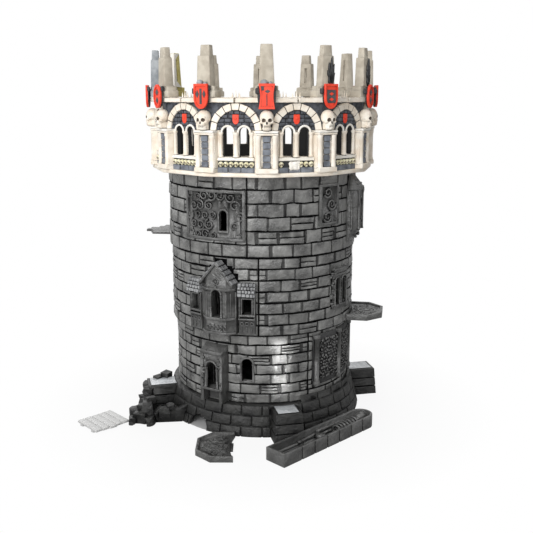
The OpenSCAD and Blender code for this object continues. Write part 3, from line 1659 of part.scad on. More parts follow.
// Recumbent skeleton: skull, spine, ribs, arms and legs
module tomb_effigy() {
  r = tomb_w / 2;
  bone = tomb_w * 0.08;
  head_r = tomb_w * 0.2;
  ribs = 6;
  chest_l = tomb_l * 0.23;
  foot_x = -tomb_l * 0.42;
  shoulder_x = tomb_l / 2 - r - head_r - bone;
  color(stone)
    lay_tomb()
      translate([0, r, tomb_t]) {
        translate([tomb_l / 2 - r, 0, head_r])
          difference() {
            sphere(r = head_r);
            for (y = [-1, 1])
              translate([-head_r * 0.15, y * head_r * 0.4, head_r * 0.85])
                sphere(r = head_r * 0.28);
          }
        translate([foot_x, -bone, 0])
          cube([tomb_l / 2 - r - foot_x, 2 * bone, bone]);
        for (i = [0:ribs - 1])
          translate([shoulder_x - chest_l * i / ribs, 0, bone])
            rotate([90, 0, 0])
              cylinder(r = bone * 0.9, h = tomb_w * (0.62 - 0.03 * i), center = true);
        for (y = [-1, 1]) {
          translate([foot_x, y * tomb_w * 0.15, bone])
            rotate([0, 90, 0])
              cylinder(r = bone, h = tomb_l * 0.45);
          translate([shoulder_x - chest_l * 1.5, y * tomb_w * 0.3, bone])
            rotate([0, 90, 0])
              cylinder(r = bone * 0.8, h = chest_l * 1.5);
        }
      }
}

platform_w = platform_planks * plank_w;

module lay_platform() {
  spot = foot_r + ruin_l + platform_clear + platform_l / 2;
  rotate([0, 0, platform_a])
    translate([0, -spot, 0])
      rotate([0, 0, platform_turn])
        children();
}

// Ragged pale planks
module plank_platform() {
  color(pale_wood)
    lay_platform()
      difference() {
        for (i = [0:platform_planks - 1])
          let (l = platform_l - plank_t * chance(i + 80))
            translate([plank_t * chance(i + 40) - platform_l / 2, i * plank_w - platform_w / 2, batten_h])
              cube([l, plank_w, plank_t]);
        for (i = [1:platform_planks - 1])
          translate([platform_l, (i - platform_planks / 2) * plank_w, batten_h + plank_t])
            rotate([0, 0, 90])
              seam(2 * platform_l);
      }
}

// Two battens that hold the planks together
module platform_battens() {
  color(pale_wood)
    lay_platform()
      for (x = [-1, 1])
        translate([x * platform_l * 0.28 - batten_w / 2, -platform_w / 2, 0])
          cube([batten_w, platform_w, batten_h]);
}

plinth();
buttress(0);  // buttress_front
buttress(1);  // buttress_right
buttress(2);  // buttress_rear
buttress(3);  // buttress_left
ruin_wall();
for (k = [1:4]) {
  wall_panel(0, k);
  wall_panel(1, k);
  wall_panel(2, k);
}
ground_bay();
ground_bay_hood();
blind_arcade();
middle_floor();
gable_bay();
gable_roof();
side_window_left();
side_window_right();
ruined_window();
balcony();
upper_floor();
relief_panel();
side_relief();
oriel();
oriel_roof();
plank_landing();
rotate([0, 0, gallery_turn]) gallery_floor();
for (k = [1:bays])
  rotate([0, 0, gallery_turn]) gallery_bay(k);
rotate([0, 0, gallery_turn]) gallery_piers();
rotate([0, 0, gallery_turn]) cornice();
rotate([0, 0, gallery_turn]) obelisks();
rotate([0, 0, gallery_turn]) shields();
rotate([0, 0, gallery_turn]) badges();
rotate([0, 0, gallery_turn]) flames();
loose_balcony();
tomb_box();
tomb_effigy();
plank_platform();
platform_battens();
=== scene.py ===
import math
import random

import bpy
from mathutils import Matrix, Vector, noise


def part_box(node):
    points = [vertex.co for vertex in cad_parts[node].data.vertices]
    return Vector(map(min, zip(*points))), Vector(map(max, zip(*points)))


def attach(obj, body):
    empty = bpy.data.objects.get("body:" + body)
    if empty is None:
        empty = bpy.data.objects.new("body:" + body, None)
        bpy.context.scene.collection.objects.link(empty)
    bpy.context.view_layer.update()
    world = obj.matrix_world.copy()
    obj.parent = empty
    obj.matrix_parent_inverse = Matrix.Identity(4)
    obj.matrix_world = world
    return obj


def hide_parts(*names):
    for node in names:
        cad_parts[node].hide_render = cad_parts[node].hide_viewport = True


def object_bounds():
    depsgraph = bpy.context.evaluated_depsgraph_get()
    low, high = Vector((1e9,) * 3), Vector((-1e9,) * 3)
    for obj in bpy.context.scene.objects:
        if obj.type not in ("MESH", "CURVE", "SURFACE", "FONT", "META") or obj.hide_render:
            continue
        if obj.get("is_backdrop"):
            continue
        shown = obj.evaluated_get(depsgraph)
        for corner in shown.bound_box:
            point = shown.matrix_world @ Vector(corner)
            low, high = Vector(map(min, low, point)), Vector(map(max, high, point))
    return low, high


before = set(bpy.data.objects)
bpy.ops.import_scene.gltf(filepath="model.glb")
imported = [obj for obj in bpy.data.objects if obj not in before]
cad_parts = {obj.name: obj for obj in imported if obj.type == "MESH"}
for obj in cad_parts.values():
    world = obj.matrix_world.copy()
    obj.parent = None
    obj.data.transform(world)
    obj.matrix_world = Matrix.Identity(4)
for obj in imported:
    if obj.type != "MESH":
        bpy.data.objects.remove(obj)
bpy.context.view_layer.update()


# Studio: a white table under soft boxes, seen from a little above the gallery's foot.
# The table is pale and keeps a faint shadow near the tower. The room is bright at the left and
# dark at the right, so the tower's right side falls away.
MM = 0.001
scene = bpy.context.scene
scene.view_settings.view_transform = "Standard"

camera_data = bpy.data.cameras.new("camera")
camera_data.lens = 52.75
camera_data.sensor_width = 36
camera = bpy.data.objects.new("camera", camera_data)
camera.location = (0.004, -0.780, 0.314)
camera.rotation_euler = (math.radians(77.6), 0, 0)
scene.collection.objects.link(camera)
scene.camera = camera


def tone(code):
    """Linear colour of an sRGB hex value."""
    parts = [int(code[i:i + 2], 16) / 255 for i in (1, 3, 5)]
    return [p / 12.92 if p <= 0.04045 else ((p + 0.055) / 1.055) ** 2.4 for p in parts] + [1]


def add_node(tree, kind, settings=None, links=None):
    """Adds a node, sets its properties and sockets, and links its sockets. A node given as a link
    stands for its first output."""
    made = tree.nodes.new(f"ShaderNode{kind}")
    for key, value in (settings or {}).items():
        if isinstance(key, str) and hasattr(made, key):
            setattr(made, key, value)
        else:
            made.inputs[key].default_value = value
    for key, source in (links or {}).items():
        socket = source.outputs[0] if isinstance(source, bpy.types.Node) else source
        tree.links.new(socket, made.inputs[key])
    return made


bright_side = (-0.50, -0.83, 0.25)
room_light = {"From Min": -0.8, "From Max": 0.9, "To Min": 0.08, "To Max": 0.64}
room_gloss = {"From Min": -0.95, "From Max": -0.6, "To Min": 0.01, "To Max": 1.75}
world = bpy.data.worlds.new("studio")
world.use_nodes = True
tree = world.node_tree
tree.nodes.clear()
way = add_node(tree, "TexCoord")
path = add_node(tree, "LightPath")
facing = add_node(tree, "VectorMath", {"operation": "DOT_PRODUCT", 1: bright_side},
                  {0: way.outputs["Generated"]})
soft = add_node(tree, "MapRange", room_light, {"Value": facing.outputs["Value"]})
mirrored = add_node(tree, "MapRange", room_gloss, {"Value": facing.outputs["Value"]})
room = add_node(tree, "Mix", {"data_type": "FLOAT"},
                {0: path.outputs["Is Glossy Ray"], 2: soft, 3: mirrored})
seen = add_node(tree, "Mix", {"data_type": "FLOAT", 3: 1.0}, {0: path.outputs["Is Camera Ray"], 2: room})
sky = add_node(tree, "Background", {"Color": tone("#ffffff")}, {"Strength": seen})
add_node(tree, "OutputWorld", None, {"Surface": sky})
scene.world = world

shadow_near = 0.12
shadow_far = 0.24
shadow_share = 0.09
inside_r = 0.098
bpy.ops.object.select_all(action="DESELECT")
bpy.ops.mesh.primitive_plane_add(size=8)
table = bpy.context.object
table.name = "table"
paper = bpy.data.materials.new("white_paper_table")
paper.use_nodes = True
tree = paper.node_tree
tree.nodes.clear()
spot = add_node(tree, "TexCoord")
reach = add_node(tree, "VectorMath", {"operation": "LENGTH"}, {0: spot.outputs["Object"]})
near = add_node(tree, "MapRange", {"From Min": shadow_near, "From Max": shadow_far,
                                   "To Min": 1 - shadow_share, "To Max": 1},
                {"Value": reach.outputs["Value"]})
outside = add_node(tree, "Math", {"operation": "GREATER_THAN", 1: inside_r}, {0: reach.outputs["Value"]})
glow_near = add_node(tree, "Math", {"operation": "MULTIPLY"}, {0: near, 1: outside})
eye = add_node(tree, "LightPath").outputs["Is Camera Ray"]
glow_share = add_node(tree, "Math", {"operation": "MULTIPLY"}, {0: glow_near, 1: eye})
matt = add_node(tree, "BsdfDiffuse", {"Color": tone("#b8b8b8")})
glow = add_node(tree, "Emission", {"Color": tone("#ffffff"), "Strength": 1})
both = add_node(tree, "MixShader", None, {0: glow_share, 1: matt, 2: glow})
add_node(tree, "OutputMaterial", None, {"Surface": both})
table.data.materials.append(paper)
table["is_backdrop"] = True


def soft_box(name, place, aim, size, power, spread=180, in_gloss=True):
    """A rectangular soft box that points at a place on the tower, with a grid that narrows its spread."""
    lamp = bpy.data.lights.new(name, "AREA")
    lamp.shape = "RECTANGLE"
    lamp.size, lamp.size_y = size
    lamp.energy = power
    lamp.spread = math.radians(spread)
    box = bpy.data.objects.new(name, lamp)
    box.location = place
    box.rotation_euler = (Vector(aim) - Vector(place)).to_track_quat("-Z", "Y").to_euler()
    box.visible_camera = False
    box.visible_glossy = in_gloss
    scene.collection.objects.link(box)


soft_box("key_box", (-0.55, -1.00, 0.75), (0, 0, 0.19), (0.5, 0.7), 8.6)
soft_box("fill_box", (-0.20, -1.10, 0.40), (0, 0, 0.12), (0.4, 0.6), 3)
soft_box("back_box", (-0.10, 0.95, 0.75), (0, 0, 0.10), (1.2, 0.5), 10, in_gloss=False)
soft_box("glint_strip", (0.033, -0.155, 0.064), (0.018, -0.086, 0.064), (0.016, 0.052), 0.005, 10)


# Storey walls: twelve quarter panels of coursed stone, injection moulded in dark polystyrene and
# glued edge to edge. Each is taken from its solid, its stones' edges rounded and their faces hewn.
# The joints between the stones and the seams between storeys are painted black as shade.
def focus(*pieces):
    """Selects these pieces alone, the last one active."""
    bpy.ops.object.select_all(action="DESELECT")
    for piece in pieces:
        piece.select_set(True)
        bpy.context.view_layer.objects.active = piece


def modify(piece, kind, **settings):
    """Adds one modifier and applies it."""
    focus(piece)
    modifier = piece.modifiers.new(kind.lower(), kind)
    for key, value in settings.items():
        setattr(modifier, key, value)
    bpy.ops.object.modifier_apply(modifier=modifier.name)
    return piece


def in_edit(piece, *steps):
    """Runs mesh operators on all of a piece, each given as its name and settings."""
    focus(piece)
    bpy.ops.object.mode_set(mode="EDIT")
    bpy.ops.mesh.select_all(action="SELECT")
    for name, settings in steps:
        getattr(bpy.ops.mesh, name)(**settings)
    bpy.ops.object.mode_set(mode="OBJECT")
    return piece


def smooth(piece, degrees=40):
    """Shades a piece smooth, apart from edges sharper than an angle."""
    focus(piece)
    bpy.ops.object.shade_smooth_by_angle(angle=math.radians(degrees))
    return piece


def copy_of_node(node, name):
    """A merged copy of a CAD node's mesh, as a new piece."""
    piece = bpy.data.objects.new(name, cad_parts[node].data.copy())
    piece.data.name = name
    piece.data.materials.clear()
    scene.collection.objects.link(piece)
    return in_edit(piece, ("remove_doubles", {"threshold": 1e-6}))


def sharpen(piece, width):
    """Rounds a solid's outer edges by a width in millimetres, and leaves its inner corners as they are."""
    least_angle = math.radians(32)
    sides = {}
    for side in piece.data.polygons:
        for key in side.edge_keys:
            sides.setdefault(key, []).append(side)
    weights = piece.data.attributes.new("bevel_weight_edge", "FLOAT", "EDGE")
    for edge in piece.data.edges:
        if len(sides[edge.key]) == 2:
            first, second = sides[edge.key]
            outer = (second.center - first.center).dot(first.normal) < 0
            if outer and first.normal.angle(second.normal, 0) > least_angle:
                weights.data[edge.index].value = 1
    modify(piece, "BEVEL", width=width * MM, segments=2, limit_method="WEIGHT", use_clamp_overlap=False,
           loop_slide=False)
    return smooth(piece)


def stones_of(piece, face):
    """Groups the vertices of a wall's face into its stones, which the joints keep apart."""
    front = {v.index for v in piece.data.vertices if v.co.xy.length > (face - 1) * MM}
    home = {i: i for i in front}

    def root(i):
        """The vertex that stands for a stone."""
        while home[i] != i:
            home[i] = home[home[i]]
            i = home[i]
        return i

    for side in piece.data.polygons:
        shared = [i for i in side.vertices if i in front]
        for i in shared[1:]:
            home[root(i)] = root(shared[0])
    stones = {}
    for i in sorted(front):
        stones.setdefault(root(i), []).append(i)
    return stones.values()


def hew(piece, face, depth, wander):
    """Sets each stone of a wall back, tilts it and draws its edges in by chance, so that no two are alike.
    The wall's top and bottom stay a hair short of the storeys above and below."""
    low = min(v.co.z for v in piece.data.vertices)
    high = max(v.co.z for v in piece.data.vertices)
    gap = 0.1 * MM
    for stone in stones_of(piece, face):
        corners = [piece.data.vertices[i] for i in stone]
        middle = sum((v.co for v in corners), Vector()) / len(corners)
        half = max(abs(v.co.z - middle.z) for v in corners) + MM
        width = max((v.co.xy - middle.xy).length for v in corners) + MM
        back = chisel.uniform(0, depth)
        lean = chisel.uniform(-depth, depth)
        swing = chisel.uniform(-depth, depth)
        draw = chisel.choice((0.3, 0.4, 0.5, 0.6, 1.1)) * MM
        for v in corners:
            wave = noise.noise_vector(v.co / (wave_size * MM)) * wander
            reach = v.co.xy.length
            along = math.atan2(middle.x * v.co.y - middle.y * v.co.x, middle.xy.dot(v.co.xy)) * reach
            set_in = back + lean * (v.co.z - middle.z) / half + swing * along / width + wave.y
            set_in = max(0, min(set_in, reach / MM - (face - 0.9)))
            turn = Matrix.Rotation((wave.x * MM - draw * along / width) / reach, 4, "Z")
            side = turn @ (v.co * (1 - set_in * MM / reach))
            v.co = (side.x, side.y, v.co.z + wave.z * MM - draw * (v.co.z - middle.z) / half)
    for v in piece.data.vertices:
        v.co.z = max(low + gap, min(v.co.z, high - gap))
    smooth(piece, 22)
    for side in piece.data.polygons:
        if side.normal.xy.dot(side.center.xy) < 0:
            side.use_smooth = False
    return piece


def seat(piece, body, slot, material, *nodes):
    """Gives a finished piece its material, body and the solids that it stands for. Its slot is not used."""
    if material:
        piece.data.materials.clear()
        piece.data.materials.append(material)
    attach(piece, body)
    if nodes:
        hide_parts(*nodes)
    return piece


def new_material(name, rough, ior):
    """Starts a material: itself, its tree, its shader and the place on the piece that its patterns read."""
    material = bpy.data.materials.new(name)
    material.use_nodes = True
    tree = material.node_tree
    shader = tree.nodes["Principled BSDF"]
    shader.inputs["Roughness"].default_value = rough
    shader.inputs["IOR"].default_value = ior
    return material, tree, shader, add_node(tree, "TexCoord").outputs["Object"]


def bare_plastic(name, light, dark, rough, face=None, sheen=0.5):
    """Polystyrene straight from the mould: satin and slightly mottled, with painted shade that turns it
    black and takes its sheen where light can't reach.
    Patches of gloss come from the mould's polish, lumps from the sculpted master, fine grit from a
    spark-eroded mould. With the radius of a wall's face, the joints behind it and the seams between storeys
    are painted black as shade."""
    material, tree, shader, spot = new_material(name, rough, 1.59)
    mottle = add_node(tree, "TexNoise", {"Scale": 1 / (14 * MM), "Detail": 3}, {"Vector": spot})
    spread = add_node(tree, "MapRange", {"From Min": 0.35, "From Max": 0.65}, {"Value": mottle})
    body = add_node(tree, "Mix", {"data_type": "RGBA", 6: tone(dark), 7: tone(light)}, {0: spread})
    open_air = add_node(tree, "AmbientOcclusion", {"samples": 4, "only_local": True, "Distance": 3 * MM})
    depth = add_node(tree, "MapRange", {"From Min": 0.35, "From Max": 0.95},
                     {"Value": open_air.outputs["AO"]})
    if face:
        # Joints end 1.3 to 2.2 mm behind the wall's face, and one storey meets the next at each seam; both
        # are painted black as shade
        height = add_node(tree, "SeparateXYZ", None, {0: spot}).outputs["Z"]
        for seam in storey_seams:
            above = add_node(tree, "Math", {"operation": "SUBTRACT", 1: seam * MM}, {0: height})
            away = add_node(tree, "Math", {"operation": "ABSOLUTE"}, {0: above})
            clear = add_node(tree, "MapRange", {"From Min": 0.8 * MM, "From Max": 1.6 * MM}, {"Value": away})
            depth = add_node(tree, "Math", {"operation": "MULTIPLY"}, {0: depth, 1: clear})
        flat = add_node(tree, "VectorMath", {"operation": "MULTIPLY", 1: (1, 1, 0)}, {0: spot})
        from_axis = add_node(tree, "VectorMath", {"operation": "LENGTH"}, {0: flat}).outputs["Value"]
        proud = add_node(tree, "MapRange", {"From Min": (face - 1.3) * MM, "From Max": (face - 0.95) * MM},
                         {"Value": from_axis})
        inside = add_node(tree, "MapRange", {"From Min": (face - 2.6) * MM, "From Max": (face - 2.2) * MM,
                                             "To Min": 1, "To Max": 0}, {"Value": from_axis})
        lit = add_node(tree, "Math", {"operation": "MAXIMUM"}, {0: proud, 1: inside})
        depth = add_node(tree, "Math", {"operation": "MULTIPLY"}, {0: depth, 1: lit})
    # Painted shade: occluded places, joints and seams turn near black
    shaded = add_node(tree, "Mix", {"data_type": "RGBA", 6: tone("#0b0b0c")},
                      {0: depth, 7: body.outputs[2]})
    gloss = add_node(tree, "MapRange", {"From Min": 0.3, "From Max": 0.7,
                                        "To Min": rough - 0.07, "To Max": rough + 0.07}, {"Value": mottle})
    lumps = add_node(tree, "TexNoise", {"Scale": 1 / (6 * MM), "Detail": 4, "Roughness": 0.65},
                     {"Vector": spot})
    swell = add_node(tree, "Bump", {"Strength": 0.9, "Distance": 1.8 * MM}, {"Height": lumps})
    grain = add_node(tree, "TexNoise", {"Scale": 1 / (1.1 * MM), "Detail": 4}, {"Vector": spot})
    bump = add_node(tree, "Bump", {"Strength": 0.5, "Distance": 0.3 * MM},
                    {"Height": grain, "Normal": swell})
    sheen_under_painted_shade = add_node(tree, "MapRange", {"To Min": 0.0, "To Max": sheen}, {"Value": depth})
    tree.links.new(shaded.outputs[2], shader.inputs["Base Color"])
    tree.links.new(gloss.outputs[0], shader.inputs["Roughness"])
    tree.links.new(bump.outputs[0], shader.inputs["Normal"])
    tree.links.new(sheen_under_painted_shade.outputs[0], shader.inputs["Specular IOR Level"])
    return material


dice = random.Random(12)
chisel = random.Random(5)
noise.seed_set(5)
wave_size = 6
ground_z = 29
middle_z = 96
upper_z = 170
ground_r = 88
middle_r = 91.5
upper_r = 93
storey_seams = (middle_z, upper_z)
storeys = {
    "ground": ("base", ground_r),
    "middle": ("middle_storey", middle_r),
    "upper": ("upper_storey", upper_r),
}
for storey, (body, face) in storeys.items():
    stone_plastic = bare_plastic(f"{storey}_wall_polystyrene", "#7e7e7c", "#525251", 0.31, face)
    for k in range(1, 5):
        name = f"{storey}_wall_{k}"
        stones = sharpen(copy_of_node(name, f"{storey}_stones_{k}"), 0.45)
        seat(hew(stones, face, 0.6, 1.3), body, "bare_dark_plastic", stone_plastic, name)


# Plinth, buttresses and broken wall: the same dark plastic, moulded in blocks round the foot, coloured
# darker as painted shade.
# Each buttress has a smooth plate on top, coloured near white as a painted reflection.
wall_plastic = bare_plastic("insert_polystyrene", "#5c5c5b", "#3b3b3a", 0.33)
# The foot is coloured darker than the walls: painted shade on the same plastic
foot_painted_shade_plastic = bare_plastic("foot_polystyrene_painted_shade", "#2e2e2d", "#1b1b1b", 0.42, sheen=0.2)
# The buttress tops are coloured near white: a painted reflection on their smooth plates
buttress_top_painted_reflection = bare_plastic("painted_reflection_polystyrene", "#c6c9cc", "#b4b7ba", 0.25)
plate_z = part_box("buttress_front")[1].z - 0.3 * MM
for node in ("plinth", "buttress_front", "buttress_right", "buttress_rear", "buttress_left", "ruin_wall"):
    blocks = sharpen(copy_of_node(node, f"{node}_stones"), 0.6)
    seat(blocks, "base", "bare_dark_plastic", foot_painted_shade_plastic, node)
    if node.startswith("buttress"):
        blocks.data.materials.append(buttress_top_painted_reflection)
        for side in blocks.data.polygons:
            side.material_index = int(side.center.z > plate_z)


# Fallen stones: rough blocks of the same dark plastic, coloured darker as painted shade, heaped on the
# broken wall and the left buttress.
# They are moulded with the base, and the lowest lie on the table.
def moved(x, y, z):
    """A shift in millimetres."""
    return Matrix.Translation((x * MM, y * MM, z * MM))


def join(name, parts):
    """Joins parts into one piece and keeps their materials."""
    focus(*parts)
    bpy.ops.object.join()
    piece = bpy.context.object
    piece.name = name
    piece.data.name = name
    return piece


def rock(size):
    """A rough block with uneven corners, its half sizes in millimetres."""
    focus()
    bpy.ops.mesh.primitive_cube_add(size=2 * MM)
    lump = in_edit(bpy.context.object, ("subdivide", {"number_cuts": 1}))
    for v in lump.data.vertices:
        v.co *= dice.uniform(0.72, 1.02)
    turn = Matrix.Rotation(dice.uniform(0, 6), 4, "Z")
    lean = Matrix.Rotation(dice.uniform(-0.2, 0.2), 4, "X")
    lump.data.transform(turn @ lean @ Matrix.Diagonal((*size, 1)))
    return lump


off_table = 0.2 * MM
heap = (
    (-118, -66, 6, 8), (-127, -68, 4, 5), (-108, -72, 4, 6), (-116, -62, 13, 7), (-103, -63, 8, 6),
    (-96, -64, 11, 6), (-121, -52, 5, 6), (-113, -50, 14, 7), (-90, -60, 14, 5), (-110, -56, 20, 5),
    (-114, -36, 22, 6), (-116, -20, 20, 7), (-108, -14, 26, 6), (-100, -10, 28, 6), (-119, -28, 10, 7),
)
rocks = []
for x, y, z, size in heap:
    lump = rock((size, size * dice.uniform(0.7, 1), min(size, z + size * 0.6) * dice.uniform(0.7, 0.9)))
    lump.data.transform(moved(x, y, z))
    foot = min(v.co.z for v in lump.data.vertices)
    if foot < off_table:
        lump.data.transform(Matrix.Translation((0, 0, off_table - foot)))
    rocks.append(lump)
rubble_heap = join("rubble_heap", rocks)
modify(rubble_heap, "BEVEL", width=0.4 * MM, segments=1, limit_method="ANGLE", angle_limit=math.radians(30))
seat(rubble_heap, "base", "bare_dark_plastic", foot_painted_shade_plastic)


# Gallery rim: the edge slab that the gallery stands on, brush painted cream over plastic.
# It is one moulding with the floor.
def painted(name, light, dark, wash, patch, rough=0.62, wash_mm=1.5):
    """Acrylic paint brushed over plastic, with a dark ink wash left in the recesses.
    The eye sees blotchy colour, dark lines in every crevice and a chalky, slightly brushed face."""
    material, tree, shader, spot = new_material(name, rough, 1.47)
    mottle = add_node(tree, "TexNoise", {"Scale": 1 / (patch * MM), "Detail": 5}, {"Vector": spot})
    spread = add_node(tree, "MapRange", {"From Min": 0.36, "From Max": 0.62}, {"Value": mottle})
    coat = add_node(tree, "Mix", {"data_type": "RGBA", 6: tone(dark), 7: tone(light)}, {0: spread})
    open_air = add_node(tree, "AmbientOcclusion",
                        {"samples": 4, "only_local": True, "Distance": wash_mm * MM})
    depth = add_node(tree, "MapRange", {"From Min": 0.3, "From Max": 0.75},
                     {"Value": open_air.outputs["AO"]})
    washed = add_node(tree, "Mix", {"data_type": "RGBA", 6: tone(wash)}, {0: depth, 7: coat.outputs[2]})
    strokes = add_node(tree, "TexNoise", {"Scale": 1 / (1.4 * MM), "Detail": 4}, {"Vector": spot})
    bump = add_node(tree, "Bump", {"Strength": 0.35, "Distance": 0.2 * MM}, {"Height": strokes})
    tree.links.new(washed.outputs[2], shader.inputs["Base Color"])
    tree.links.new(bump.outputs[0], shader.inputs["Normal"])
    return material


cream_paint = painted("cream_acrylic_over_plastic", "#f3ece0", "#e3d6c4", "#453c32", 9, 0.62, 2)
white_paint = painted("chalk_white_acrylic", "#f7f4ee", "#ece6da", "#5c5346", 9)
rim = sharpen(copy_of_node("gallery_floor", "gallery_rim"), 0.6)
seat(rim, "gallery", "painted_cream_stone", cream_paint, "gallery_floor")


# Gallery bays: twelve flat panels between the piers. Each has two lancets on a sill over a frieze of
# small skulls, under an arch of separate wedge stones with dark brickwork in its head.
# Moulded in one piece, then painted stone by stone.
def settled(name):
    """Names the primitive just added and applies its place, turn and scale to its mesh."""
    piece = bpy.context.object
    piece.name = name
    bpy.ops.object.transform_apply()
    return piece


def block(name, low, high, bevel):
    """A block between two corners in millimetres, its edges bevelled."""
    focus()
    bpy.ops.mesh.primitive_cube_add(
        size=1, location=[(a + b) / 2 * MM for a, b in zip(low, high)],
        scale=[(b - a) * MM for a, b in zip(low, high)])
    piece = settled(name)
    if bevel:
        in_edit(piece, ("bevel", {"offset": bevel * MM, "segments": 1, "affect": "EDGES"}))
    return piece


def hoop(place, big, thin, upright=True, steps=24):
    """A ring that faces the front, in millimetres. Not upright, it lies flat."""
    focus()
    bpy.ops.mesh.primitive_torus_add(
        major_segments=steps, minor_segments=8, major_radius=big * MM, minor_radius=thin * MM,
        rotation=(math.radians(90 if upright else 0), 0, 0))
    ring = settled("hoop")
    ring.data.transform(moved(*place))
    return ring


def half_hoop(place, big, thin, drop, steps=24):
    """The upper part of a ring that faces the front, cut off flat a drop below its centre."""
    cut_place = (0, 0, (place[2] - drop) * MM)
    return in_edit(hoop(place, big, thin, steps=steps), (
        "bisect", {"plane_co": cut_place, "plane_no": (0, 0, 1), "clear_inner": True, "use_fill": True}))


def turned(name, profile, place, steps=16):
    """A piece turned about an upright axis, its profile given as radius and height in millimetres."""
    mesh = bpy.data.meshes.new(name)
    points = [(0, profile[0][1]), *profile, (0, profile[-1][1])]
    lines = [(i, i + 1) for i in range(len(points) - 1)]
    mesh.from_pydata([(r * MM, 0, z * MM) for r, z in points], lines, [])
    piece = bpy.data.objects.new(name, mesh)
    scene.collection.objects.link(piece)
    modify(piece, "SCREW", steps=steps, render_steps=steps, use_merge_vertices=True, merge_threshold=1e-6)
    in_edit(piece, ("remove_doubles", {"threshold": 1e-6}), ("normals_make_consistent", {}))
    piece.data.transform(moved(*place))
    return piece


def discard(*pieces):
    """Removes tools, and models that have been copied."""
    for piece in pieces:
        bpy.data.objects.remove(piece)


def cut(pieces, tools):
    """Cuts the tools out of the pieces, then removes the tools."""
    for piece in pieces:
        for tool in tools:
            modify(piece, "BOOLEAN", object=tool, operation="DIFFERENCE", solver="EXACT")
    discard(*tools)


def paint(piece, material):
    """Gives a part of a piece one material before it is joined to the rest."""
    piece.data.materials.clear()
    piece.data.materials.append(material)
    return piece


def copied(piece, name, matrix):
    """A copy of a piece with its own mesh, put in place."""
    twin = bpy.data.objects.new(name, piece.data.copy())
    twin.data.name = name
    twin.data.transform(matrix)
    scene.collection.objects.link(twin)
    return twin


def spun(degrees, axis):
    """A turn about an axis through the origin."""
    return Matrix.Rotation(math.radians(degrees), 4, axis)


def round_tower(angle, radius, z):
    """Moves what faces the front to an angle round the gallery, in degrees and millimetres."""
    return spun(angle + gallery_turn, "Z") @ moved(0, -radius, z)


def dent(piece, size, depth):
    """Pushes a surface mostly inwards by soft noise of a size and depth in millimetres."""
    texture = bpy.data.textures.new("dents", "CLOUDS")
    texture.noise_scale = size * MM
    texture.noise_depth = 1
    return modify(piece, "DISPLACE", texture=texture, strength=depth * MM, mid_level=0.9)


def lancet_tools(radius):
    """Two cutting tools with round heads, for the openings of a bay."""
    tools = []
    for x in (-lancet_x, lancet_x):
        focus()
        bpy.ops.mesh.primitive_cylinder_add(vertices=32, radius=radius * MM, depth=16 * MM,
                                            rotation=(math.radians(90), 0, 0))
        tool = settled("lancet_tool")
        for v in tool.data.vertices:
            if v.co.z < -1e-6:
                v.co.z = (sill_top - head_z) * MM
        tool.data.transform(moved(x, 0, head_z))
        tools.append(tool)
    return tools


brick_paint = painted("slate_blue_brick_paint", "#565a62", "#2c2e33", "#08080a", 4, 0.62, 2.2)
# Black as the bare plastic inside, and darker still as painted shade inside the gallery
inside_black_and_painted_shade = painted("black_inside_with_painted_shade", "#0e0e0f", "#080808", "#020202", 8, 0.8)
slate_paint = painted("grey_stone_paint", "#7d828a", "#555961", "#141518", 6, 0.62, 2.2)
bone_paint = painted("old_bone_paint", "#f0ecd0", "#e0d9b0", "#6b6440", 3, 0.62, 0.8)
black_paint = painted("black_acrylic", "#232427", "#161719", "#050505", 8, 0.5)
socket_paint = painted("brown_ink", "#6b5d50", "#4c4138", "#2a231e", 4)

bays = 12
bay_deg = 360 / bays
gallery_turn = 2.2
bay_face = 100
floor_top = 3.5
gallery_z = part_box("gallery_bay_1")[0].z / MM - floor_top
bay_half = bay_face * math.tan(math.radians(bay_deg / 2))
trim_half = 16.6
ledge_top = 8.2
sill_low = 13.8
sill_top = 17
lancet_r = 4.6
lancet_x = 7.3
head_z = sill_top + 26 - lancet_r
spring_z = 40
arch_in = 17
arch_out = 22.6
panel_top = 63

lower = paint(block("lower", (-bay_half, 0, floor_top), (bay_half, 4, spring_z), 0), cream_paint)
upper = paint(block("upper", (-bay_half, 0, spring_z), (bay_half, 4, panel_top), 0), brick_paint)
# The lining is black, as the plastic inside is, and darker still as painted shade
lining = paint(block("lining", (-bay_half + 1, 4, 4), (bay_half - 1, 4.6, panel_top), 0), inside_black_and_painted_shade)
cut([lower, upper, lining], lancet_tools(lancet_r))
# The reveals of the lancets are coloured black as painted shade in the openings
reveal_x = (lancet_x + lancet_r + 1) * MM
for panel in (lower, upper):
    panel.data.materials.append(black_paint)
    for face in panel.data.polygons:
        between = (sill_top + 1) * MM < face.center.z < (panel_top - 1) * MM
        if between and abs(face.center.x) < reveal_x and abs(face.normal.y) < 0.5:
            face.material_index = 1

bricks = []
row_h = 3.4
for row in range(5):
    z = spring_z + row * row_h
    chord = math.sqrt((arch_in + 0.6) ** 2 - (z + row_h / 2 - spring_z) ** 2)
    x = -chord + dice.uniform(-3, 0)
    while x < chord:
        length = dice.uniform(4.5, 9)
        ends = max(x, -chord), min(x + length - 0.6, chord)
        if ends[1] - ends[0] > 1.2:
            proud = dice.uniform(0.8, 1.5)
            bricks.append(block("brick", (ends[0], -proud, z + 0.3), (ends[1], 0.5, z + row_h - 0.3), 0.35))
        x += length
bricks = paint(join("bricks", bricks), brick_paint)
cut([bricks], lancet_tools(lancet_r + 0.6))

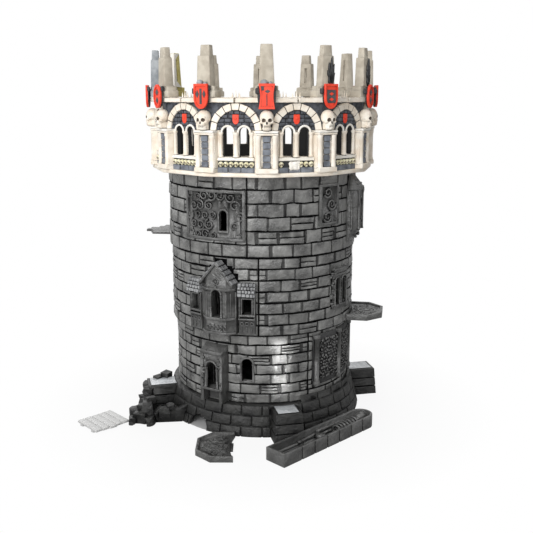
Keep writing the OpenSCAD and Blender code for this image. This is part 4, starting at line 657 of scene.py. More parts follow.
wedges = []
stones = 9
half_deg = 90 / stones
for i in range(stones):
    inner = arch_in + dice.uniform(-0.2, 0.3)
    outer = arch_out + dice.uniform(-0.3, 0.5)
    half = outer * math.tan(math.radians(half_deg)) - 0.28
    wedge = block("wedge", (-half, -2.8 - dice.uniform(-0.2, 0.4), inner), (half, 0.4, outer), 0)
    for v in wedge.data.vertices:
        if v.co.z < (inner + 1) * MM:
            v.co.x *= inner / outer
    in_edit(wedge, ("bevel", {"offset": 0.55 * MM, "segments": 2, "affect": "EDGES"}))
    wedge.data.transform(moved(0, 0, spring_z) @ spun(-90 + half_deg * (2 * i + 1), "Y"))
    wedges.append(wedge)
wedges = paint(join("wedges", wedges), cream_paint)

rims = [paint(half_hoop((x, -1.2, head_z), lancet_r + 0.75, 0.95, 0.6, 28), white_paint)
        for x in (-lancet_x, lancet_x)]

shafts = []
shaft_h = head_z - sill_top
for x, r in ((-13.6, 1.5), (0, 2.1), (13.6, 1.5)):
    profile = [(r + 0.7, 0), (r + 0.7, 1), (r + 0.2, 1.6), (r, 2.2), (r * 0.92, shaft_h - 3),
               (r + 0.1, shaft_h - 2.6), (r + 0.7, shaft_h - 1), (r + 0.7, shaft_h)]
    shafts.append(paint(turned("shaft", profile, (x, -0.7, sill_top)), cream_paint))

sill = block("sill", (-trim_half, -3.1, sill_low), (trim_half, 0.5, sill_top), 0.6)
in_edit(sill, ("subdivide", {"number_cuts": 6}))
paint(dent(sill, 4, 0.6), white_paint)
ledge = []
x = -trim_half
while x < 16:
    length = min(dice.uniform(7, 12), trim_half - x)
    front = -1.4 - dice.uniform(0, 0.5)
    ledge.append(block("ledge", (x, front, floor_top), (x + length - 0.5, 0.4, ledge_top), 0.4))
    x += length
ledge = paint(join("ledge", ledge), slate_paint)
shade = paint(block("shade", (-trim_half, -0.3, ledge_top), (trim_half, 0.4, sill_low), 0), black_paint)


def small_skull(place, r):
    """A frieze skull of a few dozen faces: round crown, narrow jaw, two dark eye pits."""
    focus()
    bpy.ops.mesh.primitive_ico_sphere_add(subdivisions=2, radius=r * MM)
    skull = bpy.context.object
    skull.data.materials.append(bone_paint)
    skull.data.materials.append(socket_paint)
    for face in skull.data.polygons:
        centre = face.center / (r * MM)
        if any((centre - Vector((side * 0.42, -0.86, -0.05))).length < 0.34 for side in (-1, 1)):
            face.material_index = 1
    for v in skull.data.vertices:
        share = max(0, -v.co.z / (r * MM))
        v.co.x *= 1 - 0.45 * share
        v.co.z *= 1 + 0.18 * share
    skull.data.transform(moved(*place))
    return skull


skull_pitch = 4.6
frieze = [small_skull(((i - 3) * skull_pitch, -0.9, 10.9), 2.35) for i in range(7)]
worn = block("worn", (-7.4, -3.2, 5.2), (4.2, 0.3, 14.2), 1.6)
in_edit(worn, ("subdivide", {"number_cuts": 5}))
paint(dent(worn, 3.5, 1.6), white_paint)

shared = [lower, upper, lining, bricks, wedges, *rims, *shafts, sill, ledge, shade]
bay = join("bay", [copied(part, part.name, Matrix()) for part in shared + frieze])
worn_parts = shared + frieze[:1] + frieze[4:] + [worn]
worn_bay = join("worn_bay", [copied(part, part.name, Matrix()) for part in worn_parts])
discard(*shared, *frieze, worn)
for k in range(1, bays + 1):
    model = worn_bay if k == 1 else bay
    panel = copied(model, f"bay_{k}", round_tower((k - 0.5) * bay_deg, bay_face, gallery_z))
    seat(panel, "gallery", "painted_cream_stone", None, f"gallery_bay_{k}")
discard(bay, worn_bay)


# Gallery piers: a base, two turned half columns with grey blocks between them, a stepped abacus and
# a skull for a capital. One moulding each, glued over the corner of two bays and painted.
def ball(name, place, radii, finish=(24, 14)):
    """A sphere stretched to three radii in millimetres."""
    focus()
    bpy.ops.mesh.primitive_uv_sphere_add(
        segments=finish[0], ring_count=finish[1], radius=1,
        location=[v * MM for v in place], scale=[v * MM for v in radii])
    return settled(name)


def set_round(model, name, spots, radius, z, slot, node):
    """Copies a model to spots round the gallery, counted in bays, and removes the model."""
    for spot in spots:
        twin = copied(model, f"{name}_{int(spot)}", round_tower(spot * bay_deg, radius, z))
        seat(twin, "gallery", slot, None, node)
    discard(model)


corner_r = bay_face / math.cos(math.radians(bay_deg / 2))
pier_half = 10
pier_back = 2.4
base_top = 8
pier_top = 36
abacus_z = 38
column_r = 2.8
column_x = pier_half - column_r
shaft = pier_top - base_top

pier = []
for name, front, foot, top, bevel, coat in (
        ("base", -5.9, floor_top, base_top, 0.6, cream_paint),
        ("core", -2.7, base_top - 1, pier_top, 0, cream_paint),
        ("abacus", -5.1, pier_top, abacus_z, 0.4, cream_paint),
        ("abacus_slab", -5.9, abacus_z - 0.1, spring_z, 0.5, white_paint)):
    pier.append(paint(block(name, (-pier_half, front, foot), (pier_half, pier_back, top), bevel), coat))
profile = [(column_r, 0), (column_r, 1.4), (column_r - 0.35, 2.2), (column_r - 0.45, shaft - 3),
           (column_r - 0.1, shaft - 2.4), (column_r, shaft - 1), (column_r, shaft)]
for x in (-column_x, column_x):
    pier.append(paint(turned("column", profile, (x, -2.6, base_top), 20), cream_paint))
strip = []
block_h = shaft / 5
for i in range(5):
    foot = base_top + i * block_h
    front = -4.2 + dice.uniform(0, 0.6)
    strip.append(block("strip", (-3.4, front, foot), (3.4, -2, foot + block_h - 0.5), 0.45))
pier.append(paint(join("strip", strip), slate_paint))

skull_y = -3.5
head = join("head", [
    ball("crown", (0, skull_y, 51.2), (6.0, 6.2, 6.2)),
    ball("temple", (0, skull_y - 2.2, 49.2), (5.7, 4.6, 3.4)),
    ball("brow", (0, skull_y - 5.0, 50.9), (4.9, 1.7, 1.2)),
    ball("cheek", (-4.1, skull_y - 3.8, 47.3), (2.0, 2.2, 1.4)),
    ball("cheek", (4.1, skull_y - 3.8, 47.3), (2.0, 2.2, 1.4)),
    ball("muzzle", (0, skull_y - 3.5, 45.6), (3.5, 3.3, 3.2)),
    block("teeth", (-2.7, skull_y - 6.2, 42.6), (2.7, skull_y, 45.2), 0.5),
    ball("jaw", (0, skull_y - 2.9, 42.0), (4.0, 3.4, 2.1)),
    block("neck", (-3.2, skull_y - 3, 40), (3.2, 0, 46), 0.5),
])
modify(head, "REMESH", mode="VOXEL", voxel_size=0.4 * MM, use_smooth_shade=True)
modify(head, "SMOOTH", factor=0.5, iterations=3)
eyes = [((side * 2.65, skull_y - 6.3, 48.9), (1.75, 2.3, 1.55)) for side in (-1, 1)]
pits = eyes + [((0, skull_y - 6.7, 46.6), (0.85, 1.5, 1.15))]
cut([head], [ball("pit", place, radii) for place, radii in pits])
cut([head], [block("gap", (x - 0.16, skull_y - 8, 42.4), (x + 0.16, skull_y - 5.2, 45.0), 0)
             for x in (-2, -1, 0, 1, 2)])
cut([head], [block("bite", (-3.4, skull_y - 8, 43.6), (3.4, skull_y - 5.1, 43.9), 0)])
paint(head, cream_paint)
head.data.materials.append(socket_paint)
for face in head.data.polygons:
    for place, radii in pits:
        reach = [(c / MM - p) / r for c, p, r in zip(face.center, place, radii)]
        if sum(v * v for v in reach) < 1.08:
            face.material_index = 1
pier = smooth(join("pier", [*pier, head]))
set_round(pier, "pier", range(bays), corner_r, gallery_z, "painted_cream_stone", "gallery_piers")


# Cornice: two long chipped stones over each bay, mitred at the piers, with three thin spikes on top.
# Moulded with the bays and painted the same cream.
slope = math.tan(math.radians(bay_deg / 2))
cornice_top = 68
ring = []
for side in (-1, 1):
    stone = block("stone", (0.25, -6, panel_top), (27, 5, cornice_top), 0)
    for v in stone.data.vertices:
        if v.co.x > 10 * MM:
            v.co.x = (bay_face * MM - v.co.y) * slope - 0.25 * MM
        v.co.x *= side
    in_edit(stone, ("normals_make_consistent", {}),
            ("bevel", {"offset": 0.8 * MM, "segments": 2, "affect": "EDGES"}),
            ("subdivide", {"number_cuts": 5}))
    ring.append(paint(dent(stone, 4, 1.5), cream_paint))
for x, high in ((-3.3, 4.2), (0, 6), (3.3, 4.2)):
    profile = [(0.9, 0), (0.6, high * 0.4), (0.15, high)]
    ring.append(paint(turned("spike", profile, (x, 0, cornice_top - 0.2), 8), cream_paint))
ring = smooth(join("ring", ring))
mid_bays = [k + 0.5 for k in range(bays)]
set_round(ring, "cornice", mid_bays, bay_face, gallery_z, "painted_cream_stone", "cornice")


# Obelisks: twelve tapered stones on stepped pedestals, some with a cap that slipped to one side.
# Each is drybrushed in its own tone: most beige, one blue grey, one half white and half mustard.
stone_paint = painted("beige_drybrush", "#c0b8a9", "#a89f90", "#3d362d", 8, 0.7, 2.2)
grey_paint = painted("blue_grey_drybrush", "#a4a8ab", "#83888c", "#3c3f43", 7, 0.7, 2.2)
mustard_paint = painted("mustard_drybrush", "#d8cc88", "#bfb26c", "#5a5230", 7, 0.7, 2.2)
stones = sharpen(copy_of_node("obelisks", "obelisk_stones"), 0.6)
for material in (stone_paint, grey_paint, mustard_paint, white_paint):
    stones.data.materials.append(material)
for face in stones.data.polygons:
    angle = math.degrees(math.atan2(face.center.x, -face.center.y)) - gallery_turn
    if abs(angle + 90) < 15:
        face.material_index = 1
    elif -135 < angle < -120:
        face.material_index = 2
    elif -120 <= angle < -105:
        face.material_index = 3
terrace_z = gallery_z + cornice_top
pedestal_top = terrace_z + 9.5
obelisk_front = 107.4
boss = join("boss", [ball("boss", (-2.2, -2, 2.4), (3.2, 2.6, 3.0)),
                     ball("boss", (3.2, -2, 1.4), (2.0, 2.2, 2.2))])
dent(paint(boss, grey_paint), 3, 0.5)
bosses = [copied(boss, "boss", round_tower(angle, obelisk_front, pedestal_top)) for angle in (-30, 0)]
discard(boss)
stones = smooth(join("obelisk_stones", [*bosses, stones]))
seat(stones, "gallery", "painted_cream_stone", None, "obelisks")


# Shields: a red shield hangs over each pier, of four outlines in turn, with a sunk field and a raised rim.
# Each carries a plain dark device of bars or lozenges, and hangs on a black bracket.
def plate(name, outline, back, front, bevel):
    """An upright plate from an outline of x and z, between two depths, in millimetres."""
    mesh = bpy.data.meshes.new(name)
    mesh.from_pydata([(x * MM, back * MM, z * MM) for x, z in outline], [], [list(range(len(outline)))])
    piece = bpy.data.objects.new(name, mesh)
    scene.collection.objects.link(piece)
    modify(piece, "SOLIDIFY", thickness=abs(front - back) * MM, offset=0, use_even_offset=False)
    piece.data.transform(moved(0, (front - back) / 2, 0))
    in_edit(piece, ("normals_make_consistent", {}))
    if bevel:
        modify(piece, "BEVEL", width=bevel * MM, segments=1, limit_method="ANGLE", angle_limit=0.7)
    return piece


def shield_outline(style, wide, high):
    """Outline of a shield: curved point, round foot, hollow sides or oval."""
    half = wide / 2
    waist = high * 0.45
    quarter = [math.radians(a) for a in range(0, 91, 10)]
    if style == "point":
        left = [(-half * math.cos(a), waist * (1 - math.sin(a))) for a in quarter]
        return [(-half, high), *left, *[(-x, z) for x, z in left[-2::-1]], (half, high)]
    if style == "round":
        foot = [math.radians(a) for a in range(180, 361, 12)]
        curve = [(half * math.cos(a), waist * (1 + math.sin(a))) for a in foot]
        return [(-half, high), *curve, (half, high)]
    if style == "hollow":
        steps = [i / 10 for i in range(11)]
        right = [(half * (1 - 0.2 * math.sin(math.pi * t)), high * t) for t in steps]
        return right + [(-x, z) for x, z in right[::-1]]
    turns = [math.radians(a) for a in range(0, 360, 15)]
    return [(half * math.cos(a), high / 2 * (1 + math.sin(a))) for a in turns]


def lozenge(x, z, wide, high):
    """Outline of a lozenge about its centre."""
    return [(x - wide / 2, z), (x, z - high / 2), (x + wide / 2, z), (x, z + high / 2)]


def bar(x0, z0, x1, z1):
    """Outline of an upright bar between two corners."""
    return [(x0, z0), (x1, z0), (x1, z1), (x0, z1)]


red_paint = painted("signal_red_acrylic", "#ee4a2e", "#e03a22", "#5a1008", 5, 0.5)
device_paint = painted("dark_grey_device", "#4b4c4f", "#37383b", "#121214", 5)
shield_w = 14
shield_h = 21
devices = {
    "hollow": [bar(-5.6, 15.4, -2.4, 20), lozenge(0.6, 14.6, 5, 3), bar(-0.35, 3, 0.35, 12.4)],
    "round": [bar(-1.1, 4, 1.1, 17), lozenge(-3.4, 12.4, 3.4, 7), lozenge(3.4, 12.4, 3.4, 7)],
    "point": [bar(-4.6, 5, 4.6, 16)],
    "oval": [lozenge(0, 14, 6.4, 6), lozenge(0, 7, 5, 6.4)],
}
accents = {"point": [lozenge(0, 12.6, 5, 3), lozenge(0, 8, 5, 3)]}
models = {}
for style, marks in devices.items():
    outline = shield_outline(style, shield_w, shield_h)
    back = paint(plate("back", outline, 0, -1.5, 0.25), red_paint)
    rim = paint(plate("rim", outline, -1.2, -2.2, 0.3), red_paint)
    sunk = [(x * 0.76, shield_h / 2 + (z - shield_h / 2) * 0.8) for x, z in outline]
    cut([rim], [plate("field", sunk, 0, -4, 0)])
    parts = [back, rim]
    parts += [paint(plate("mark", mark, -1.3, -1.9, 0.15), device_paint) for mark in marks]
    parts += [paint(plate("accent", mark, -1.8, -2.15, 0.1), red_paint) for mark in accents.get(style, [])]
    models[style] = smooth(join(style, parts), 30)
order = ["hollow", "point", "oval", "round"]
shield_r = 106 / math.cos(math.radians(bay_deg / 2)) + 0.6
shield_z = terrace_z - 2.5 - shield_h * 0.35
bracket = join("bracket", [
    plate("bracket", shield_outline("point", shield_w + 1.6, shield_h - 2), 0.9, -0.1, 0.3),
    block("arm", (-9.6, -0.6, 12.5), (-6, 2.6, 17.4), 0.6),
    block("arm", (5.2, -0.6, 15), (8.2, 2.2, 19.5), 0.6),
])
for k in range(bays):
    lift = round_tower(k * bay_deg, shield_r, shield_z)
    twin = copied(models[order[k % 4]], f"shield_{k}", lift)
    seat(twin, "gallery", "painted_red", None, "shields")
    seat(copied(bracket, f"bracket_{k}", lift), "gallery", "black_paint", black_paint)
discard(bracket, *models.values())


# Badges: a small red shield with a raised boss, moulded by itself.
# One is glued on the brickwork in the head of each bay.
badge = join("badge", [
    paint(plate("badge", shield_outline("point", 5.6, 8.4), -0.8, -1.9, 0.35), red_paint),
    paint(ball("boss", (0, -1.9, 5), (1.3, 0.5, 1.6), (10, 6)), red_paint),
])
set_round(badge, "badge", mid_bays, bay_face, gallery_z + spring_z + 5.1, "painted_red", "badges")


# Flames: a fan of flat blades cast in plastic and painted black.
# Two fans are glued to the fronts of two obelisks, a little aside of their middle.
blades = []
for lean, high, wide in ((-16, 14, 4), (-7, 20, 4.4), (2, 25, 4.6), (10, 19, 4.2), (19, 12, 3.6)):
    left = [(-wide * 0.25, 0), (-wide * 0.5, high * 0.3), (-wide * 0.2, high * 0.55),
            (-wide * 0.32, high * 0.75)]
    right = [(wide * 0.18, high * 0.72), (wide * 0.42, high * 0.42), (wide * 0.25, 0)]
    blade = plate("blade", [*left, (0, high), *right], 0.2, -1.6, 0.35)
    blade.data.transform(spun(lean, "Y"))
    blades.append(blade)
fire = paint(join("fire", blades), black_paint)
aside = 1.2 / bay_deg
set_round(fire, "flame", (1 + aside, 2 + aside), obelisk_front, pedestal_top, "black_paint", "flames")


# Small bay, gabled bay and side windows: dark plastic inserts glued into the walls. Their solids give the
# bodies. Arch mouldings, shafts, carved aprons and single tiles are added as the moulds have them.
def arch_moulding(x, front, sill, wide, high, thin):
    """Half a ring round an opening with a round head, on two shafts."""
    head = sill + high - wide / 2
    big = wide / 2 + thin * 0.7
    tall = head - sill
    profile = [(thin * 1.5, 0), (thin * 1.5, thin), (thin, thin * 1.6), (thin, tall - thin * 2),
               (thin * 1.6, tall - thin), (thin * 1.6, tall)]
    shafts = [turned("shaft", profile, (x + side * big, front, sill), 10) for side in (-1, 1)]
    return [half_hoop((x, front, head), big, thin, 0.4), *shafts]


def tiles(x0, x1, back, rows, first_z, row_h, first_out, lap):
    """Rows of single tiles on a small roof, each row set back from the one below, coloured light as a
    painted highlight.
    """
    made = []
    for row in range(rows):
        x = x0
        while x < x1 - 0.8:
            wide = min(dice.uniform(2.6, 4.2), x1 - x)
            z = first_z + row * row_h
            front = first_out - row * lap + dice.uniform(-0.25, 0.3)
            foot = z + dice.uniform(-0.4, 0.1)
            tile = block("tile", (x, -front, foot), (x + wide - 0.35, -back, z + row_h * 0.9), 0.3)
            made.append(paint(tile, tile_painted_highlight))
            x += wide
    return made


def insert(node, body, angle, z, extras, width=0.3):
    """A wall insert: its solid with rounded edges, joined to details that are modelled facing the front."""
    solid = paint(sharpen(copy_of_node(node, f"{node}_piece"), width), wall_plastic)
    for part in extras:
        if not part.data.materials:
            part.data.materials.append(wall_plastic)
        part.data.transform(spun(angle, "Z") @ moved(0, 0, z))
    piece = smooth(join(f"{node}_piece", [*extras, solid]))
    return seat(piece, body, "bare_dark_plastic", None, node)


# The tiles are the same dark plastic, coloured light grey as a painted highlight on their upturned faces
tile_painted_highlight = bare_plastic("tile_polystyrene_painted_highlight", "#9a9b9c", "#77787a", 0.3)
loose_plastic = bare_plastic("loose_piece_polystyrene", "#5a5a59", "#3a3a39", 0.36)
# Near black: painted shade for recesses
recess_painted_shade = bare_plastic("shaded_polystyrene", "#101011", "#0a0a0a", 0.6)

window_a = -9.3
window_frame = arch_moulding(0, -ground_r - 0.1, 22.5, 10.5, 22, 0.9)
window_frame.append(block("sill", (-7, -ground_r - 1, 20.8), (7, -ground_r + 1.4, 22.6), 0.4))
for part in window_frame:
    part.data.transform(spun(window_a, "Z") @ moved(0, 0, ground_z))
seat(smooth(join("window_frame", window_frame)), "base", "bare_dark_plastic", wall_plastic)

porch_a = -29.5
porch_front = ground_r + 9
porch_top = 48
lumps = [ball("lump", (side * dice.uniform(7.4, 10.4), -porch_front - 0.8, dice.uniform(16, 45)),
              [dice.uniform(0.9, 1.9) for _ in range(3)], (10, 6)) for side in (-1, 1) for _ in range(12)]
porch_arch = arch_moulding(0, -porch_front - 0.2, 15, 11.5, 25.5, 1.1)
insert("ground_bay", "base", porch_a, ground_z, porch_arch + lumps)
hood = []
for x in (-11.8, -4, 3.8):
    end = x + dice.uniform(6, 7.4)
    top = porch_top + dice.uniform(3, 4.4)
    hood.append(block("course", (x, -porch_front - 1.5, porch_top + 1), (end, -ground_r, top), 0.6))
insert("ground_bay_hood", "base", porch_a, ground_z, hood, 0.6)

gable_a = -24.6
gable_front = middle_r + 9.5
gable_side = middle_r + 2.8
carved = arch_moulding(0, -gable_front - 0.2, 19, 9.5, 26, 0.9)
for i in range(5):
    x = (i - 2) * 4.1
    carved.append(hoop((x, -gable_front - 0.1, 9.6), 1.5, 0.45))
    carved.append(ball("bud", (x, -gable_front, 9.6), (0.6, 0.6, 0.6), (8, 6)))
    carved.append(block("drop", (x + 1.8, -gable_front - 0.7, 7), (x + 2.3, -gable_front, 12.6), 0.15))
for x, y in ((10, -gable_front + 0.3), (16.6, -gable_side)):
    carved += [turned("corner", [(0.9, 0), (0.9, 24)], (side * x, y, 19.2), 8) for side in (-1, 1)]
for x in (-13.2, 13.2):
    carved.append(block("rib", (x - 0.5, -gable_front + 2.6, 20), (x + 0.5, -middle_r, 42), 0.2))
carved.append(hoop((0, -gable_front - 0.1, 52.6), 2.6, 0.6))
carved.append(ball("crest", (0, -gable_front, 52.6), (1.3, 1, 1.3), (10, 6)))
carved.append(ball("keystone", (0, -gable_front - 0.3, 46.6), (1.6, 1, 1.5), (10, 6)))
insert("gable_bay", "middle_storey", gable_a, middle_z, carved)

slates = []
eave_z = 48
rise = 20
half = 17
slate_rows = 5
for side in (-1, 1):
    lean = Matrix.Rotation(side * (math.atan2(rise, half) - 0.08), 4, "Y")
    for row in range(slate_rows):
        climb = row / slate_rows + 0.1
        place = moved(side * half * (1 - climb), 0, eave_z + rise * climb + 2.6)
        y = -gable_front - 1.2
        while y < -middle_r + 1:
            deep = dice.uniform(2.6, 4)
            end = min(y + deep - 0.3, -middle_r + 2)
            slate = block("slate", (-2.2, y, -0.2), (2.2, end, 0.9 + dice.uniform(-0.2, 0.2)), 0.25)
            slate.data.transform(place @ lean)
            slates.append(paint(slate, tile_painted_highlight))
            y += deep
insert("gable_roof", "middle_storey", gable_a, middle_z, slates)

side_turn = 16.2
front = middle_r + 3.6
for name, turn in (("left", -side_turn), ("right", side_turn)):
    extras = tiles(-8.2, 8.2, middle_r - 1, 4, 39.6, 3, front + 4.6, 1.0)
    for x, foot, top in ((5, 22, 37.4), (6.9, 18, 39)):
        for side in (-x, x):
            low = (side - 0.55, -front - 0.8, foot)
            extras.append(block("jamb", low, (side + 0.55, -front + 1, top), 0.2))
    extras.append(block("lintel", (-5.6, -front - 0.8, 36.5), (5.6, -front + 1, 37.8), 0.2))
    extras.append(block("sill", (-7.8, -front - 1.6, 17), (7.8, -front + 1, 18.6), 0.3))
    for x in (-4.6, 0, 4.6):
        extras.append(hoop((x, -front - 0.1, 13.4), 1.5, 0.45))
        extras.append(block("drop", (x - 0.4, -front - 0.6, 5), (x + 0.4, -front, 10), 0.2))
    insert(f"side_window_{name}", "middle_storey", gable_a + turn, middle_z, extras)


# Ruined window: a double light with its stones broken, half buried in rubble.
# The stones are thin slabs at all angles, moulded with the frame.
ruined_a = 54
rubble = []
for i in range(34):
    side = dice.choice((-1, 1))
    x = side * dice.uniform(9.5, 14)
    z = dice.uniform(17, 59)
    low = (-dice.uniform(1.4, 3.2), -1.2, -dice.uniform(0.6, 1.3))
    high = (dice.uniform(1.4, 3.2), 1.2, dice.uniform(0.6, 1.3))
    slab = block("slab", low, high, 0.35)
    reach = math.sqrt(middle_r ** 2 - x * x) + dice.uniform(-0.6, 0.9)
    slab.data.transform(moved(x, -reach, z) @ Matrix.Rotation(dice.uniform(-0.35, 0.35), 4, "Y"))
    rubble.append(slab)
for x in (-6, 6):
    rubble += arch_moulding(x, -middle_r - 1.4, 22, 8, 27, 0.7)
insert("ruined_window", "middle_storey", ruined_a, middle_z, rubble, 0.25)


# Blind arcade: three half columns with two panels of cobbles between them, one insert.
# The cobbles are small flattened pebbles set in rows.
arcade_a = 57.5
arcade_z = ground_z + 13
arcade_pitch = 21.5
focus()
bpy.ops.mesh.primitive_ico_sphere_add(subdivisions=1, radius=MM)
pebble = bpy.context.object
cobbles = []
for panel in (-0.5, 0.5):
    for row in range(13):
        for i in range(8):
            along = i - 3.75 + 0.5 * (row % 2)
            angle = panel * arcade_pitch + along * 2.25 + dice.uniform(-0.8, 0.8)
            size = [dice.uniform(0.9, 2.3), dice.uniform(1.4, 2.4), dice.uniform(0.9, 2.0)]
            place = spun(angle, "Z") @ moved(0, -ground_r, 6.6 + row * 3.1 + dice.uniform(-0.9, 0.9))
            turn = Matrix.Rotation(dice.uniform(0, 3), 4, "Y")
            cobbles.append(copied(pebble, "cobble", place @ turn @ Matrix.Diagonal((*size, 1))))
discard(pebble)
arcade = insert("blind_arcade", "base", arcade_a, arcade_z, cobbles)
# The ground behind the cobbles is coloured near black as painted shade in the recess
arcade.data.materials.append(recess_painted_shade)
least_area = 4 * MM * MM
for face in arcade.data.polygons:
    if face.area > least_area and face.center.xy.length < (ground_r + 0.3) * MM:
        face.material_index = len(arcade.data.materials) - 1


# Carved panels: a large one round a lancet and a narrow one, curved with the wall. Their carving is a
# plain vine of scrolls and leaves. Oriel and its roof stand at the right, beside the narrow panel.
def vine(points, thick):
    """A tapering stem through points of distance along the wall and height, wrapped on the upper storey."""
    curve = bpy.data.curves.new("vine", "CURVE")
    curve.dimensions = "3D"
    curve.bevel_depth = thick * MM
    curve.bevel_resolution = 1
    line = curve.splines.new("POLY")
    line.points.add(len(points) - 1)
    out = upper_r + 0.1
    for i, (along, z) in enumerate(points):
        turn = along / upper_r
        line.points[i].co = (out * math.sin(turn) * MM, -out * math.cos(turn) * MM, z * MM, 1)
        line.points[i].radius = 1 - 0.6 * i / len(points)
    stem = bpy.data.objects.new("vine", curve)
    scene.collection.objects.link(stem)
    focus(stem)
    bpy.ops.object.convert(target="MESH")
    return stem


def scroll(along, z, size, turns, hand, start):
    """A stem that winds in on itself, with leaves along its outside."""
    path = []
    for i in range(44):
        share = i / 43
        angle = math.radians(start) + hand * turns * 2 * math.pi * share
        reach = size * (1 - 0.86 * share)
        path.append((along + reach * math.cos(angle), z + reach * math.sin(angle)))
    parts = [vine(path, size * 0.2)]
    for i in range(2, 34, 5):
        turn = Matrix.Rotation(path[i][0] / upper_r, 4, "Z")
        leaf = ball("leaf", (0, 0, 0), (size * 0.3, 1.1, size * 0.16), (8, 6))
        leaf.data.transform(turn @ moved(0, -upper_r, path[i][1]) @ Matrix.Rotation(i * 0.7, 4, "Y"))
        parts.append(leaf)
    return parts


relief_a = -28.8
lancet_along = 10
carving = []
for row in range(5):
    for i in range(7):
        along = -26 + i * 8.7 + 4.2 * (row % 2) + dice.uniform(-1, 1)
        z = 20.5 + row * 8.6 + dice.uniform(-1, 1)
        room = max(abs(along - lancet_along) - 5, z - 47) / 1.35
        size = min(dice.uniform(3.4, 5), room)
        if abs(along) < 29 and size > 2:
            hand = dice.choice((-1, 1))
            carving += scroll(along, z, size, dice.uniform(1.2, 1.7), hand, dice.uniform(0, 360))
insert("relief_panel", "upper_storey", relief_a, upper_z, carving, 0.25)

side_relief_a = 41.5
side_carving = []
for scroll_form in ((-2, 35, 5.4, 1.6, 1, 200), (3, 46, 5.6, 1.7, -1, 0), (-2, 57, 5, 1.6, 1, 200)):
    side_carving += scroll(*scroll_form)
insert("side_relief", "upper_storey", side_relief_a, upper_z, side_carving, 0.25)

oriel_a = 68
oriel_front = upper_r + 8.5
oriel_extras = arch_moulding(0, -oriel_front - 0.1, 27, 8, 22, 0.8)
profile = [(1.5, 0), (1.1, 2), (1.0, 34), (1.6, 37), (1.6, 38)]
for x, y in ((6.2, -oriel_front), (12.2, -upper_r - 3)):
    oriel_extras += [turned("shaft", profile, (side * x, y, 18), 10) for side in (-1, 1)]
for i in range(9):
    place = (dice.uniform(-11, 11), -upper_r - dice.uniform(2, 5), dice.uniform(8, 17))
    oriel_extras.append(ball("boss", place, [dice.uniform(1, 2) for _ in range(3)], (10, 6)))
insert("oriel", "upper_storey", oriel_a, upper_z, oriel_extras)
slates = []
for row in range(3):
    z = 57.5 + row * 3
    for i in range(4 - row // 2):
        x = -8 + 3.8 * i + row * 0.9
        slates.append(block("slate", (x, -upper_r - 9.6 + row * 2.4, z), (x + 3.4, -upper_r, z + 2.1), 0.4))
insert("oriel_roof", "upper_storey", oriel_a, upper_z, slates)


# Floors and plank landing: flat dark mouldings that close the storeys, and ragged planks let into the wall.
# All are of the same bare plastic, and are held by the walls round them.
boards = {"middle_floor": "middle_storey", "upper_floor": "upper_storey", "plank_landing": "upper_storey"}
for node, body in boards.items():
    board = sharpen(copy_of_node(node, f"{node}_board"), 0.3)
    seat(board, body, "bare_dark_plastic", loose_plastic, node)


# Balconies: slabs with a raised rim and a carved rosette, the ground round it carved in small curls.
# Both are bare dark plastic from one mould: one is plugged in at the right, its twin lies on the table.
def curls(count, wide, deep):
    """Small rings and buds scattered on a balcony that reaches out along -Y, kept off its cut corners."""
    made = []
    for _ in range(count):
        x = dice.uniform(-wide, wide)
        y = dice.uniform(0.12, 0.92) * deep
        if abs(x) + y > wide + deep * 0.42:
            continue
        made.append(hoop((x, -y, 0), dice.uniform(0.9, 1.9), 0.4, upright=False))
        made.append(ball("bud", (x, -y, 0), (0.5, 0.5, 0.5), (8, 5)))
    return made


balcony_a = 80
carving_z = 4.1
for node in ("balcony", "loose_balcony"):
    slab = sharpen(copy_of_node(node, f"{node}_slab"), 0.3)
    low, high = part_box(node)
    floor_z = low.z / MM + carving_z
    if node == "balcony":
        place = spun(balcony_a, "Z") @ moved(0, -middle_r, floor_z)
    else:
        place = moved(high.x / MM - 4, (low.y + high.y) / 2 / MM, floor_z) @ spun(-90, "Z")
    carved = curls(110, 21, 26)
    for part in carved:
        part.data.transform(place)
    slab = smooth(join(f"{node}_slab", [*carved, slab]))
    seat(slab, node, "bare_dark_plastic", loose_plastic, node)


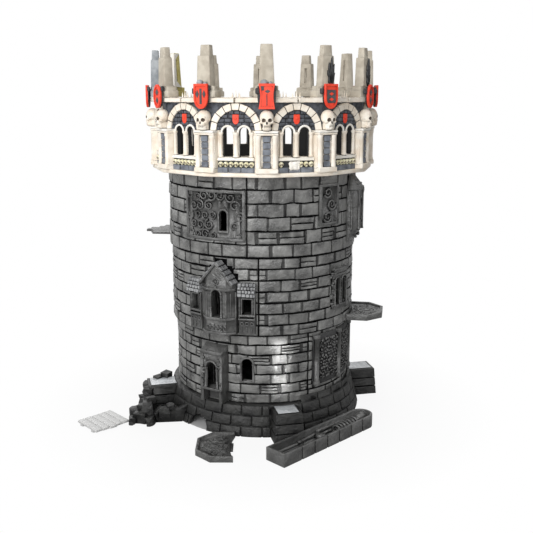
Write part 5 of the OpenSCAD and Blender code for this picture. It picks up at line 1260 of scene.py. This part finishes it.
# Tomb: an open stone trough with a skeleton lying in it, two mouldings of bare dark plastic.
# The skeleton is glued into the trough.
trough = sharpen(copy_of_node("tomb_box", "tomb_trough"), 0.45)
seat(trough, "tomb", "bare_dark_plastic", loose_plastic, "tomb_box")
tomb_turn = 44.5
tomb_middle = -117.1
head_x = 18
bones = [
    ball("skull", (head_x, 0, 9), (5.6, 4.8, 4.8), (16, 10)),
    ball("jaw", (head_x - 4.4, 0, 8), (3, 3, 2.6), (12, 8)),
    ball("hips", (-40, 0, 7), (4, 7, 3.4), (14, 8)),
]
for i in range(7):
    rib = hoop((0, 0, 0), 6.6 - 0.35 * i, 0.9)
    rib.data.transform(moved(head_x - 11 - 4 * i, 0, 6.6) @ spun(90, "Z") @ Matrix.Diagonal((1, 1, 0.8, 1)))
    bones.append(rib)
limbs = ((-92, -66, 4, 3.6, 7), (-66, -42, 3.6, 5, 8), (-36, -12, 8, 7.4, 8), (-12, 8, 7.4, 7, 8))
for side in (-1, 1):
    for x0, x1, y0, y1, z in limbs:
        limb = turned("limb", [(1.9, 0), (1.2, 3), (1.1, x1 - x0 - 3), (1.9, x1 - x0)], (0, 0, 0), 8)
        turn = Matrix.Rotation(math.atan2(side * (y1 - y0), x1 - x0), 4, "Z")
        limb.data.transform(moved(x0, side * y0, z) @ turn @ spun(90, "Y"))
        bones.append(limb)
for part in bones:
    part.data.transform(spun(tomb_turn, "Z") @ moved(0, tomb_middle, 0))
skeleton = smooth(join("tomb_skeleton", [*bones, copy_of_node("tomb_effigy", "tomb_skeleton")]))
seat(skeleton, "tomb", "bare_dark_plastic", wall_plastic, "tomb_effigy")


# Plank platform: pale planks with ragged ends on two battens, moulded in plastic and primed.
# It lies loose on the table.
def pale_planks(name, light, dark):
    """Pale primed plastic with a wood grain along its planks, cut shallow into the mould.
    A fleck of the grain is about 17 mm long and 1.1 mm wide."""
    flecks_per_metre = (60, 900, 900)
    plank_turn = math.radians(50)
    material, tree, shader, spot = new_material(name, 0.5, 1.5)
    along = add_node(tree, "Mapping", {"Rotation": (0, 0, plank_turn), "Scale": flecks_per_metre},
                     {"Vector": spot})
    grain = add_node(tree, "TexNoise", {"Scale": 1, "Detail": 2}, {"Vector": along})
    colour = add_node(tree, "Mix", {"data_type": "RGBA", 6: tone(dark), 7: tone(light)}, {0: grain})
    bump = add_node(tree, "Bump", {"Strength": 0.25, "Distance": 0.2 * MM}, {"Height": grain})
    tree.links.new(colour.outputs[2], shader.inputs["Base Color"])
    tree.links.new(bump.outputs[0], shader.inputs["Normal"])
    return material


plank_plastic = pale_planks("primed_pale_plastic", "#cfcfce", "#a9a9a8")
for node in ("plank_platform", "platform_battens"):
    piece = sharpen(copy_of_node(node, f"{node}_wood"), 0.3)
    seat(piece, "platform", "primed_pale_plastic", plank_plastic, node)

low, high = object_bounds()
